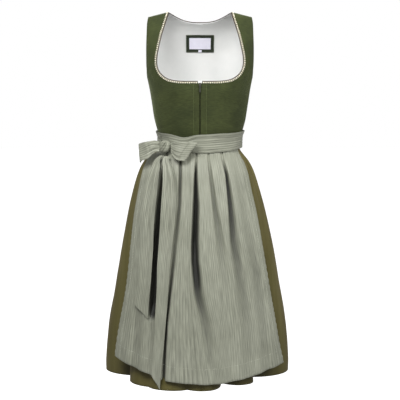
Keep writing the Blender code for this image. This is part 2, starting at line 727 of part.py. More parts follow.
def apron_places():
    places = set(EDGE_PLACES)
    for valley in APRON_VALLEYS:
        places |= {round(valley.top + k * valley.half_width, 4) for k in VALLEY_OFFSETS}
    kept = []
    for place in sorted(places):
        if 0 <= place <= 1 and (not kept or place - kept[-1] > LEAST_COLUMN):
            kept.append(place)
    kept[-1] = 1.0
    return kept


def apron_height(place, z):
    """Height of a row of the apron. Lower rows rise towards the side edges."""
    share = (z - APRON_TOP_Z) / (APRON_HEM_Z - APRON_TOP_Z)
    rise = HEM_RISE_RIGHT if place < 0.5 else HEM_RISE_LEFT
    return z + share * rise * abs(2 * place - 1) ** HEM_RISE_POWER


def apron_point(place, z, out=0.0):
    return ring_point(apron_angle(place, z), z, apron_in(place, z) - APRON_PROUD - out)


def make_apron(sage):
    grid = np.array(
        [[apron_point(p, apron_height(p, z)) for p in apron_places()] for z in reversed(APRON_ROWS_Z)]
    )
    wall("apron", grid, APRON_WALL, sage)


# Waistband and tie: shapes.
def band_point(angle, z, out):
    level = level_of(TORSO, z)
    section = row_at(TORSO, level)
    radius = ring_radius(section, angle) + out
    return np.array((radius * sin(angle), -radius * cos(angle), z))


def band_grid(start, end, columns, heights, out):
    """heights(share) gives the lower and upper edge, share running from start to end."""
    grid = []
    for i in range(BAND_ROWS):
        row = []
        for j in range(columns):
            share = j / (columns - 1)
            low, high = heights(share)
            angle = radians(start + (end - start) * share)
            row.append(band_point(angle, low + (high - low) * i / (BAND_ROWS - 1), out))
        grid.append(row)
    return np.array(grid)


def band_heights(_share):
    return BAND_BOTTOM_Z + BAND_INSET_LOW, BAND_TOP_Z - BAND_INSET_HIGH


def tie_heights(share):
    near_start = ease(TIE_PINCH_START - share, 0.0, TIE_PINCH_START)
    near_end = ease(share - (1 - TIE_PINCH_END), 0.0, TIE_PINCH_END)
    near_knot = max(near_start, near_end)
    return BAND_BOTTOM_Z + TIE_PINCH_LOW * near_knot, BAND_TOP_Z - TIE_PINCH_HIGH * near_knot


def make_band_and_tie(sage):
    band_out = APRON_PROUD + BAND_CLEAR + TIE_WALL
    wall("apron_band", band_grid(BAND_FROM, BAND_TO, BAND_COLUMNS, band_heights, band_out), TIE_WALL, sage)
    tie_out = band_out + TIE_CLEAR + TIE_WALL
    start, end = KNOT_AT + TIE_STOP, KNOT_AT + 360 - TIE_STOP
    wall("apron_tie", band_grid(start, end, TIE_COLUMNS, tie_heights, tie_out), TIE_WALL, sage)


# Bow: shapes.
def ribbon_grid(rows, half_width_axis, across_steps):
    """rows hold (middle point, half width, shear): a strip of cloth drawn along its middle line."""
    grid = []
    for step in range(across_steps):
        share = 1 - 2 * step / (across_steps - 1)
        grid.append([middle + half_width_axis * half * share + shift * share for middle, half, shift in rows])
    return np.array(grid)[::-1]


def loop_rows(table, count, lean):
    """Points along a bow's loop, out from the knot along its front and back along its rear."""
    rows = []
    for i in range(count):
        step = row_at(table, (len(table) - 1) * i / (count - 1))
        shift = np.array((lean * step.lean_share, 0.0, 0.0))
        rows.append((np.array((step.x, step.y, step.z)), step.half_width, shift))
    return rows


def make_bow(sage):
    upright = np.array((0.0, 0.0, 1.0))
    for name, table, lean in (
        ("bow_loop_right", LOOP_RIGHT, LOOP_RIGHT_LEAN),
        ("bow_loop_left", LOOP_LEFT, LOOP_LEFT_LEAN),
    ):
        grid = ribbon_grid(loop_rows(table, LOOP_COLUMNS, lean), upright, LOOP_ROWS)
        if name == "bow_loop_right":
            grid = grid[:, ::-1]
        wall(name, grid, TIE_WALL, sage)
    make_knot(sage)
    for name, table in (("bow_tail_right", TAIL_RIGHT), ("bow_tail_left", TAIL_LEFT)):
        wall(name, tail_grid(table), TIE_WALL, sage)


def make_knot(sage):
    """The knot: a squeezed pillow whose pleats run up and down, slanting with the pull of the loops."""
    points, faces = [], []
    turns, bands, flat, round_power = KNOT_TURNS, KNOT_BANDS, KNOT_FLATNESS_UP, KNOT_FLATNESS_ROUND
    facing = np.array(KNOT_FACING) / np.linalg.norm(KNOT_FACING)
    across = np.array((-facing[1], facing[0], 0.0))
    for i in range(bands):
        lift = -pi / 2 + pi * (i + 0.5) / bands
        for k in range(turns):
            turn = 2 * pi * k / turns
            pleat = 1 - KNOT_PLEAT * (1 + cos(KNOT_PLEATS * turn)) / 2
            side = signed_power(cos(lift), flat) * signed_power(cos(turn), round_power) * KNOT_HALF_WIDTH
            ahead = signed_power(cos(lift), flat) * signed_power(sin(turn), round_power) * KNOT_HALF_DEPTH * pleat
            height = signed_power(sin(lift), round_power) * KNOT_HALF_HEIGHT
            point = np.array(KNOT_MIDDLE) + across * (side + KNOT_SLANT * height) + facing * ahead
            points.append(point + np.array((0, 0, height)))
    for i in range(bands - 1):
        for k in range(turns):
            a, b = i * turns + k, i * turns + (k + 1) % turns
            faces.append((a, b, b + turns, a + turns))
    faces.append(tuple(range(turns)))
    faces.append(tuple(range(len(points) - turns, len(points))))
    mesh_object("bow_knot", points, faces, sage)


def tail_grid(table):
    grid = []
    for i in reversed(range(TAIL_ROWS)):
        step = row_at(table, (len(table) - 1) * i / (TAIL_ROWS - 1))
        row = []
        for j in range(TAIL_COLUMNS):
            share = j / (TAIL_COLUMNS - 1)
            angle = radians(step.start + (step.end - step.start) * share)
            z = step.z + (step.z_end - step.z) * share
            ripple = TAIL_RIPPLE * sin(2 * pi * (share + TAIL_FOLD_SHIFT) * TAIL_FOLDS)
            row.append(ring_point(angle, max(z, SKIRT_HEM_Z), -APRON_PROUD - step.out - ripple)[:2].tolist() + [z])
        grid.append(row)
    return np.array(grid)


# Zip: shapes.
def zip_face(z):
    """Where the outer face of the bodice lies at the centre front."""
    return torso_point(0.0, level_of(TORSO, z))[1]


def box(name, low, high, material, cuts=()):
    """A block, with blocks cut out of it."""
    shape = block_mesh(name, low, high, material)
    for k, (cut_low, cut_high) in enumerate(cuts):
        cutter = block_mesh(f"{name}_cut_{k}", cut_low, cut_high, material)
        cutter.hide_render = True
        cutter.display_type = "WIRE"
        cut = shape.modifiers.new(f"cut_{k}", "BOOLEAN")
        cut.operation = "DIFFERENCE"
        cut.object = cutter
    return shape


def block_mesh(name, low, high, material):
    corners = [(x, y, z) for x in (low[0], high[0]) for y in (low[1], high[1]) for z in (low[2], high[2])]
    faces = [(0, 1, 3, 2), (4, 6, 7, 5), (0, 4, 5, 1), (2, 3, 7, 6), (0, 2, 6, 4), (1, 5, 7, 3)]
    return mesh_object(name, corners, faces, material)


def make_zip(tape_green, metal):
    """The tape lies behind the fronts, with its chain standing up into the gap between them."""
    heights = [ZIP_TOP_Z + (ZIP_BOTTOM_Z - ZIP_TOP_Z) * i / (ZIP_ROWS - 1) for i in reversed(range(ZIP_ROWS))]
    behind = BODICE_WALL + ZIP_TAPE_CLEAR
    profile = (
        (-ZIP_TAPE_HALF, behind),
        (-CHAIN_FOOT_HALF, behind),
        (-CHAIN_HALF, CHAIN_DEPTH),
        (CHAIN_HALF, CHAIN_DEPTH),
        (CHAIN_FOOT_HALF, behind),
        (ZIP_TAPE_HALF, behind),
    )
    outer, inner = [], []
    for z in heights:
        level = level_of(TORSO, z)
        places = [torso_point(turn_of(x, level, False) * (1 if x > 0 else -1), level) for x, _ in profile]
        outer.append([p + np.array((0, depth, 0)) for p, (_, depth) in zip(places, profile)])
        inner.append([p + np.array((0, behind + ZIP_TAPE_WALL, 0)) for p in places])
    shell("zip_tape", np.array(outer), np.array(inner), tape_green)

    face = min(zip_face(SLIDER_TOP_Z), zip_face(SLIDER_TOP_Z - SLIDER_HEIGHT)) - SEAM_GAP
    slider_low = SLIDER_TOP_Z - SLIDER_HEIGHT
    body_front = face - SLIDER_THICK
    bridge_front = body_front - BRIDGE_STANDS
    cut_front = bridge_front - CUT_PAST
    slot_front, slot_back = bridge_front + BRIDGE_BAR, body_front + SLOT_SUNK
    bridge_low, bridge_high = PULL_AXIS_Z - BRIDGE_HALF_HEIGHT, PULL_AXIS_Z + BRIDGE_HALF_HEIGHT
    side_low, side_high = bridge_low - CUT_OVERLAP, bridge_high + CUT_OVERLAP
    box(
        "zip_slider",
        (-SLIDER_HALF_WIDTH, bridge_front, slider_low),
        (SLIDER_HALF_WIDTH, face, SLIDER_TOP_Z),
        metal,
        cuts=(
            ((-CUT_PAST, cut_front, slider_low - CUT_PAST), (CUT_PAST, body_front, bridge_low)),
            ((-CUT_PAST, cut_front, bridge_high), (CUT_PAST, body_front, SLIDER_TOP_Z + CUT_PAST)),
            ((-CUT_PAST, cut_front, side_low), (-BRIDGE_HALF_WIDTH, body_front, side_high)),
            ((BRIDGE_HALF_WIDTH, cut_front, side_low), (CUT_PAST, body_front, side_high)),
            ((-CUT_PAST, slot_front, bridge_low + BRIDGE_BAR), (CUT_PAST, slot_back, bridge_high - BRIDGE_BAR)),
        ),
    )
    axis_y = (slot_front + slot_back) / 2
    pull = box(
        "zip_pull",
        (-PULL_HALF_WIDTH, -PULL_HALF_THICK, -PULL_LENGTH),
        (PULL_HALF_WIDTH, PULL_HALF_THICK, PULL_HALF_THICK),
        metal,
        cuts=(
            (
                (-BRIDGE_HALF_WIDTH - PULL_CLEAR, -CUT_PAST, -PULL_EYE),
                (BRIDGE_HALF_WIDTH + PULL_CLEAR, CUT_PAST, -PULL_HALF_THICK),
            ),
        ),
    )
    for obj in [pull] + [m.object for m in pull.modifiers]:
        obj.location = (0.0, axis_y, PULL_AXIS_Z)


# Neck edges and label: shapes.
def neck_places(table, behind, count):
    """Places along the neckline as (turn, level), with the last one short of the shoulder seam."""
    places = [edge_place(table, (len(table) - 1) * i / (count - 1), behind) for i in range(count)]
    places[-1][1] = len(TORSO) - 1 - SHOULDER_SEAM_LEVELS
    return places


def edge_frames(places, side, behind):
    """For each place on the neck edge: the point, the normal, and the way in over the panel."""
    points = np.array([torso_point(side * turn, level) for turn, level in places])
    normals = np.array([torso_normal(side * turn, level) for turn, level in places])
    along = np.gradient(points, axis=0)
    along /= np.linalg.norm(along, axis=1, keepdims=True)
    over = np.cross(normals, along)
    over /= np.linalg.norm(over, axis=1, keepdims=True)
    neck_z = NECK_MIDDLE_BACK_Z if behind else NECK_MIDDLE_FRONT_Z
    away = (over * (points - np.array((0.0, points[:, 1].mean(), neck_z)))).sum()
    return points, normals, over if away > 0 else -over


def make_neck_edges(cream, brown):
    pipe_depth = (BODICE_WALL + LINING_GAP + LINING_WALL) / 2
    for side, where in ((1, "left"), (-1, "right")):
        teeth = 2 * PICOTS + 1
        places = neck_places(NECKLINE_FRONT, False, teeth)
        points, normals, over = edge_frames(places, side, False)
        reach = np.where(np.arange(teeth) % 2 == 1, EDGING_TIP, EDGING_ROOT)[:, None]
        lift = SEAM_GAP + EDGING_WALL
        base = points + over * EDGING_INSET
        tips = points + over * reach
        outer = np.array([base + normals * lift, tips + normals * lift])
        inner = np.array([base + normals * SEAM_GAP, tips + normals * SEAM_GAP])
        shell(f"neck_edging_{where}", own_side(outer, False), own_side(inner, False), cream)
        points, normals, over = edge_frames(neck_places(NECKLINE_FRONT, False, FRONT_NECK_ROWS), side, False)
        piping = points - normals * pipe_depth - over * (PIPING_RADIUS + SEAM_GAP)
        tube(f"neck_piping_{where}", piping[:-1], PIPING_RADIUS, brown, PIPING_SIDES)
    halves = []
    for side in (-1, 1):
        places = neck_places(NECKLINE_BACK, True, BACK_NECK_ROWS)
        points, normals, over = edge_frames(places, side, True)
        if side < 0:
            points, normals, over = points[::-1], normals[::-1], over[::-1]
        halves.append(points - normals * pipe_depth - over * (PIPING_RADIUS + SEAM_GAP))
    path = np.concatenate([halves[0], halves[1][1:]])[1:-1]
    tube("neck_piping_back", path, PIPING_RADIUS, brown, PIPING_SIDES)


def make_label(border, white):
    """A woven label on the back lining, bare, with a small size tab sewn over its lower border."""
    face_top, face_bottom = LABEL_TOP_Z - LABEL_BORDER, LABEL_BOTTOM_Z + LABEL_BORDER
    pieces = (
        ("label_patch", LABEL_HALF_WIDTH, LABEL_TOP_Z, LABEL_BOTTOM_Z, PATCH_LIFT, border),
        ("label_face", LABEL_HALF_WIDTH - LABEL_BORDER, face_top, face_bottom, FACE_LIFT, white),
        ("size_tab", TAB_HALF_WIDTH, TAB_TOP_Z, TAB_BOTTOM_Z, FACE_LIFT, white),
    )
    for name, half_width, top, bottom, lift, material in pieces:
        grid, normals = [], []
        for i in range(LABEL_ROWS):
            level = level_of(TORSO, bottom + (top - bottom) * i / (LABEL_ROWS - 1))
            xs = [half_width * (2 * j / (LABEL_COLUMNS - 1) - 1) for j in range(LABEL_COLUMNS)]
            turns = [turn_of(x, level, True) * (1 if x > 0 else -1) for x in xs]
            grid.append([torso_point(turn, level) for turn in turns])
            normals.append([torso_normal(turn, level) for turn in turns])
        grid, normals = np.array(grid), np.array(normals)
        depth = BODICE_WALL + LINING_GAP + LINING_WALL + lift
        shell(name, moved(grid, -depth, normals), moved(grid, -depth - LABEL_WALL, normals), material)


def main():
    clear_scene()
    green = finish("bodice_green", 0.052, 0.063, 0.024, 0.80)
    white = finish("lining_white", 0.830, 0.830, 0.810, 0.85)
    olive = finish("skirt_olive", 0.120, 0.115, 0.045, 0.45)
    sage = finish("apron_sage", 0.400, 0.410, 0.330, 0.55)
    cream = finish("edging_cream", 0.790, 0.720, 0.560, 0.80)
    brown = finish("piping_brown", 0.060, 0.035, 0.022, 0.80)
    tape_green = finish("zip_green", 0.035, 0.042, 0.020, 0.70)
    border = finish("label_border", 0.035, 0.045, 0.030, 0.75)
    metal = finish("zip_metal", 0.620, 0.620, 0.600, 0.30, metallic=1.0)
    make_bodice(green, white)
    make_zip(tape_green, metal)
    make_neck_edges(cream, brown)
    make_label(border, white)
    make_skirt(olive)
    make_apron(sage)
    make_band_and_tie(sage)
    make_bow(sage)


main()
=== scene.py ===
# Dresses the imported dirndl: fine cloth on each wall, stitches, picots, zip teeth, floor, light and camera.
# Metres, +Z up, the front faces -Y, +X is the wearer's left. The origin lies between the straps.
from math import cos, pi, radians, sin

import bmesh
import bpy
import numpy as np
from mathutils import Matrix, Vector


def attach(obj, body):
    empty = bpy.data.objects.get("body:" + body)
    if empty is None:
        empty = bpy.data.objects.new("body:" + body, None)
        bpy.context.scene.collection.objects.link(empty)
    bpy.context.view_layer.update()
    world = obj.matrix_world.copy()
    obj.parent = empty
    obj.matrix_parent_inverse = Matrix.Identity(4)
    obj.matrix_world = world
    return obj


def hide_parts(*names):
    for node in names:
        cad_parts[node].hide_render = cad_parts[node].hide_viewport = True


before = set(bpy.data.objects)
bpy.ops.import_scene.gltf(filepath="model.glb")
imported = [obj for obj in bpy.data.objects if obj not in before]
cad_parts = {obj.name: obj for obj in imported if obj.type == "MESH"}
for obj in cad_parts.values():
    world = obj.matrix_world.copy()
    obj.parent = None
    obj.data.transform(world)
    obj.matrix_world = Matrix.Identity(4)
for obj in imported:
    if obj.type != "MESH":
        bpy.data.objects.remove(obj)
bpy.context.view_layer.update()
garment = "garment"
print("frame loaded")


# Splines and small helpers.
def tableAt(rows, at):
    # Catmull-Rom curve through the rows of a table, at places counted in rows.
    rows = np.asarray(rows, float)
    last = len(rows) - 1
    at = np.clip(np.asarray(at, float), 0, last)
    i = np.minimum(at.astype(int), last - 1)
    t = (at - i)[..., None]
    here, after = rows[i], rows[i + 1]
    before = np.where((i > 0)[..., None], rows[np.maximum(i - 1, 0)], 2 * here - after)
    beyond = np.where((i + 2 <= last)[..., None], rows[np.minimum(i + 2, last)], 2 * after - here)
    return 0.5 * (
        2 * here
        + (after - before) * t
        + (2 * before - 5 * here + 4 * after - beyond) * t * t
        + (3 * here - before - 3 * after + beyond) * t**3
    )


def levelOf(rows, z, lookups=6000):
    # The place in a table, counted in rows, where its first column has this height.
    dense = np.linspace(0, len(rows) - 1, lookups)
    return np.interp(z, tableAt(rows, dense)[:, 0], dense)


def ease(value, start, end):
    # Rises smoothly from 0 to 1 between these values.
    t = np.clip((np.asarray(value, float) - start) / (end - start), 0, 1)
    return t * t * (3 - 2 * t)


def bell(away, width):
    return np.exp(-((away / width) ** 2))


def stacked(*parts):
    # One array of points or places from their coordinates.
    return np.stack(np.broadcast_arrays(*parts), axis=-1)


def signedPower(value, power):
    return np.abs(value) ** power * np.sign(value)


def unit(vectors):
    return vectors / np.maximum(np.linalg.norm(vectors, axis=-1, keepdims=True), 1e-12)


def wave(x, y, seed, pitch, waves=7, usualPeak=3.2):
    # Smooth noise in about -1 to 1: a few crossed waves whose places come from the seed.
    draws = np.random.default_rng(seed)
    total = 0.0
    for _ in range(waves):
        turn, shift = draws.uniform(0, pi), draws.uniform(0, 2 * pi)
        length = pitch * draws.uniform(0.7, 1.6)
        total = total + np.sin((x * cos(turn) + y * sin(turn)) * 2 * pi / length + shift)
    return total / usualPeak


def crease(x, z, start, end, width, depth):
    # A soft trough from one (x, z) to another, fading at both ends. Depth is negative for a ridge.
    along = np.array(end, float) - start
    length = np.linalg.norm(along)
    along = along / length
    ahead, upwards = x - start[0], z - start[1]
    share = (ahead * along[0] + upwards * along[1]) / length
    across = -ahead * along[1] + upwards * along[0]
    return depth * bell(across, width) * ease(share, -0.12, 0.25) * (1 - ease(share, 0.7, 1.12))


# The dress's main sizes, as the solids have them.
size = {
    "waistZ": -0.3450,
    "underarmZ": -0.1850,
    "bandTopZ": -0.3300,
    "bandBottomZ": -0.3780,
    "hemZ": -1.0275,
    "bodiceWall": 0.0012,
    "liningWall": 0.0010,
    "liningGap": 0.0012,
    "skirtWall": 0.0012,
    "apronWall": 0.0012,
    "tieWall": 0.0012,
    "seamGap": 0.0003,
}

# Height, half width, front depth, back depth and squareness of the bodice's rings, from below the waist up.
torsoRows = (
    (-0.380, 0.1120, 0.0882, 0.0790, 2.10),
    (-0.345, 0.1126, 0.0886, 0.0794, 2.10),
    (-0.325, 0.1195, 0.0935, 0.0830, 2.12),
    (-0.295, 0.1275, 0.1005, 0.0880, 2.15),
    (-0.255, 0.1335, 0.1090, 0.0935, 2.20),
    (-0.205, 0.1415, 0.1180, 0.1000, 2.20),
    (-0.150, 0.1525, 0.1130, 0.1020, 2.20),
    (-0.100, 0.1570, 0.0960, 0.0980, 2.25),
    (-0.055, 0.1575, 0.0720, 0.0820, 2.30),
    (-0.022, 0.1565, 0.0440, 0.0520, 2.35),
    (-0.006, 0.1550, 0.0220, 0.0250, 2.35),
    (-0.0013, 0.1540, 0.0110, 0.0120, 2.35),
    (0.000, 0.1540, 0.0000, 0.0000, 2.35),
)
shoulder = {"slope": 0.25, "slopeFrom": 0.088, "depth": 0.12, "seamLevels": 0.05}
bust = {"x": 0.072, "z": -0.176, "rise": 0.0110, "spreadX": 0.040, "spreadZ": 0.048}
zipHalfGap = 0.0017
neckPointX = 0.0880
# Height and x of the neck's and armholes' edges in the front view.
necklineFront = (
    (-0.1850, zipHalfGap), (-0.1848, 0.0300), (-0.1840, 0.0600), (-0.1800, 0.0850), (-0.1710, 0.1020),
    (-0.1570, 0.1140), (-0.1390, 0.1192), (-0.1170, 0.1185), (-0.0930, 0.1142), (-0.0590, 0.1062),
    (-0.0310, 0.0975), (-0.0100, 0.0905), (0.0000, neckPointX),
)
necklineBack = (
    (-0.0290, 0.0000), (-0.0280, 0.0240), (-0.0225, 0.0480), (-0.0120, 0.0690), (0.0000, neckPointX),
)
armholeFront = (
    (-0.1825, 0.1462), (-0.1750, 0.1464), (-0.1600, 0.1470), (-0.1300, 0.1476), (-0.0900, 0.1478),
    (-0.0500, 0.1468), (-0.0180, 0.1457), (0.0000, 0.1430),
)
armholeBack = (
    (-0.1825, 0.1462), (-0.1750, 0.1462), (-0.1600, 0.1458), (-0.1300, 0.1445), (-0.0900, 0.1430),
    (-0.0500, 0.1425), (-0.0180, 0.1430), (0.0000, 0.1430),
)


def torsoPoint(turn, level):
    # Outer face of the bodice: turn is 0 at the centre front and pi at the centre back.
    turn, level = np.broadcast_arrays(np.asarray(turn, float), np.asarray(level, float))
    row = tableAt(torsoRows, level)
    z, halfWidth, front, back, power = np.moveaxis(row, -1, 0)
    across = signedPower(np.sin(turn), 2 / power)
    ahead = signedPower(np.cos(turn), 2 / power)
    x = halfWidth * across
    y = -np.where(ahead > 0, front, back) * ahead
    outwards = np.maximum(0, np.abs(x) - shoulder["slopeFrom"])
    fade = np.clip(1 + z / shoulder["depth"], 0, 1)
    cup = bell(np.abs(x) - bust["x"], bust["spreadX"]) * bell(z - bust["z"], bust["spreadZ"])
    y = y - bust["rise"] * cup * np.maximum(0, ahead)
    return stacked(x, y, z - shoulder["slope"] * outwards * fade)


def torsoNormal(turn, level, step=0.002):
    top = len(torsoRows) - 1
    around = torsoPoint(turn + step, level) - torsoPoint(turn - step, level)
    upwards = torsoPoint(turn, np.minimum(level + step, top)) - torsoPoint(turn, level - step)
    return unit(np.cross(around, upwards))


def turnOf(x, level, behind):
    # The turn where the torso is this wide at this level.
    row = tableAt(torsoRows, level)
    turn = np.arcsin(np.minimum(np.abs(x) / row[..., 1], 1) ** (row[..., 4] / 2))
    return pi - turn if behind else turn


def onEdge(rows, at, behind):
    # (turn, level) of places on an edge that is drawn in the front view.
    point = tableAt(rows, at)
    level = levelOf(torsoRows, np.minimum(point[..., 0], 0))
    return stacked(turnOf(point[..., 1], level, behind), level)


def onSeam(z, behind, centre):
    # (turn, level) of places on the centre front or back, or on the side seam.
    level = levelOf(torsoRows, z)
    if centre:
        return stacked(turnOf(0.0 if behind else zipHalfGap, level, behind), level)
    gapTurn = size["seamGap"] / 2 / tableAt(torsoRows, level)[..., 2]
    return stacked(pi / 2 + (gapTurn if behind else -gapTurn), level)


def edgeRuns(behind):
    # Places on the inner and outer edge of a half panel, by row counted from the waist up.
    neck, arm = (necklineBack, armholeBack) if behind else (necklineFront, armholeFront)
    centreRows, neckRows, sideRows = (11, 7, 9) if behind else (7, 14, 12)
    neckZ = neck[0][0]
    last = centreRows + neckRows - 1

    def inner(row):
        low = np.minimum(row, centreRows)
        onCentre = onSeam(size["waistZ"] + (neckZ - size["waistZ"]) * low / centreRows, behind, True)
        share = np.clip((row - centreRows) / (neckRows - 1), 0, 1)
        onNeck = onEdge(neck, share * (len(neck) - 1), behind)
        return np.where((row >= centreRows)[..., None], onNeck, onCentre)

    def outer(row):
        side = np.clip(row / (sideRows - 1), 0, 1)
        onSide = onSeam(size["waistZ"] + (size["underarmZ"] - size["waistZ"]) * side, behind, False)
        share = np.clip((row - sideRows) / (last - sideRows), 0, 1)
        onArm = onEdge(arm, share * (len(arm) - 1), behind)
        join = np.clip(row - (sideRows - 1), 0, 1)[..., None]
        return np.where(join >= 1, onArm, onSide * (1 - join) + onArm * join)

    return inner, outer, last


def panelGrid(behind, side, rowSteps, shares):
    # Turns and levels on half a panel, rows from the waist up, columns from -X to +X.
    inner, outer, last = edgeRuns(behind)
    rows = np.linspace(0, last, last * rowSteps + 1)
    first, after = inner(rows), outer(rows)
    for edge in (first, after):
        edge[-1, 1] = len(torsoRows) - 1 - shoulder["seamLevels"]
    shares = np.asarray(shares)[None, :, None]
    places = first[:, None] + (after - first)[:, None] * shares
    places = places[:, ::side]
    return side * places[..., 0], places[..., 1]


def evenShares(coarse, steps):
    # Adds even steps between shares across a half panel.
    found = []
    for here, after in zip(coarse[:-1], coarse[1:]):
        found += [here + (after - here) * k / steps for k in range(steps)]
    return found + [coarse[-1]]


frontShares = evenShares((0.0, 0.085, 0.21, 0.36, 0.52, 0.68, 0.84, 1.0), 6)
backShares = evenShares((0.0, 0.17, 0.34, 0.51, 0.68, 0.84, 1.0), 6)


# Meshes.
def lengthAlong(grid, axis):
    step = np.linalg.norm(np.diff(grid, axis=axis), axis=-1)
    total = np.cumsum(step, axis=axis)
    start = np.zeros_like(total.take([0], axis=axis))
    return np.concatenate([start, total], axis=axis)


def flatPlaces(grid):
    # Metres across and up a cloth grid, so that a weave keeps its size.
    across = lengthAlong(grid, 1)
    across = across - across[:, :1]
    up = lengthAlong(grid, 0)
    middle = np.broadcast_to(up[:, [up.shape[1] // 2]], up.shape)
    return stacked(across, middle)


def gridNormals(grid):
    return unit(np.cross(np.gradient(grid, axis=1), np.gradient(grid, axis=0)))


def addObject(name, data):
    obj = bpy.data.objects.new(name, data)
    bpy.context.scene.collection.objects.link(obj)
    return obj


def makeObject(name, points, faces, material, uvs=None, smooth=True):
    mesh = bpy.data.meshes.new(name)
    points = np.asarray(points).reshape(-1, 3).tolist()
    mesh.from_pydata(points, [], [tuple(map(int, face)) for face in faces])
    if uvs is not None:
        layer = mesh.uv_layers.new(name="cloth")
        flat = np.asarray(uvs, np.float32).reshape(-1, 2)
        loops = np.empty(len(mesh.loops), np.int32)
        mesh.loops.foreach_get("vertex_index", loops)
        layer.data.foreach_set("uv", flat[loops].ravel())
    if smooth:
        mesh.shade_smooth()
    mesh.materials.append(material)
    return addObject(name, mesh)


def clothShell(name, outer, inner, material, uv=None, rimRound=0.0, marks=None):
    # A closed wall between two grids. One extra loop half way through its rim bulges out by this share of
    # the wall, so that a cut edge catches the light.
    rows, columns = outer.shape[:2]
    count = rows * columns
    index = np.arange(count).reshape(rows, columns)
    face = stacked(index[:-1, :-1], index[:-1, 1:], index[1:, 1:], index[1:, :-1]).reshape(-1, 4)
    rim = np.concatenate([index[0, :-1], index[:-1, -1], index[-1, :0:-1], index[:0:-1, 0]])
    uv = flatPlaces(outer) if uv is None else uv
    points = np.concatenate([outer.reshape(-1, 3), inner.reshape(-1, 3)])
    middle = (points[rim] + points[rim + count]) / 2
    inPlace = np.concatenate([index[1, :-1], index[:-1, -2], index[-2, :0:-1], index[:0:-1, 1]])
    away = unit(points[rim] - points[inPlace])
    bulge = np.linalg.norm(points[rim] - points[rim + count], axis=-1, keepdims=True) * rimRound
    points = np.concatenate([points, middle + away * bulge])
    ring = 2 * count + np.arange(len(rim))
    quads = [face, face[:, ::-1] + count]
    for low, high in ((rim, ring), (ring, rim + count)):
        quads.append(stacked(low, high, np.roll(high, -1), np.roll(low, -1)))
    flat = uv.reshape(-1, 2)
    uvs = np.concatenate([flat, flat, flat[rim]])
    obj = makeObject(name, points, np.concatenate(quads), material, uvs)
    if marks is not None:
        # How deep in a fold each point lies, from 0 to 1.
        marks = marks.reshape(-1).astype(np.float32)
        layer = obj.data.attributes.new("foldDepth", "FLOAT", "POINT")
        layer.data.foreach_set("value", np.concatenate([marks, marks, marks[rim]]))
    return obj


def wear(obj, slotName, *nodes, rideOn=garment):
    # Finishes a piece: it stands for CAD nodes and rides on a body. Its slot name is not used.
    if nodes:
        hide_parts(*nodes)
    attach(obj, rideOn)


# Materials.
def colour(hexCode):
    # sRGB hex to the linear colour that a shader wants.
    parts = [int(hexCode[k : k + 2], 16) / 255 for k in (1, 3, 5)]
    linear = [part / 12.92 if part <= 0.04045 else ((part + 0.055) / 1.055) ** 2.4 for part in parts]
    return (*linear, 1.0)


def addNode(tree, kind, inputs=None, **settings):
    # Adds a node to the right of the last one. An input takes a value or another node's output, and
    # the settings are the node's own.
    node = tree.nodes.new(kind)
    node.location = (180 * len(tree.nodes), 0)
    for key, value in settings.items():
        setattr(node, key, value)
    for key, value in (inputs or {}).items():
        if isinstance(value, bpy.types.NodeSocket):
            tree.links.new(value, node.inputs[key])
        else:
            node.inputs[key].default_value = value
    return node


def newMaterial(name, inputs):
    made = bpy.data.materials.new(name)
    made.use_nodes = True
    shader = made.node_tree.nodes["Principled BSDF"]
    for key, value in inputs.items():
        shader.inputs[key].default_value = value
    return made, made.node_tree, shader


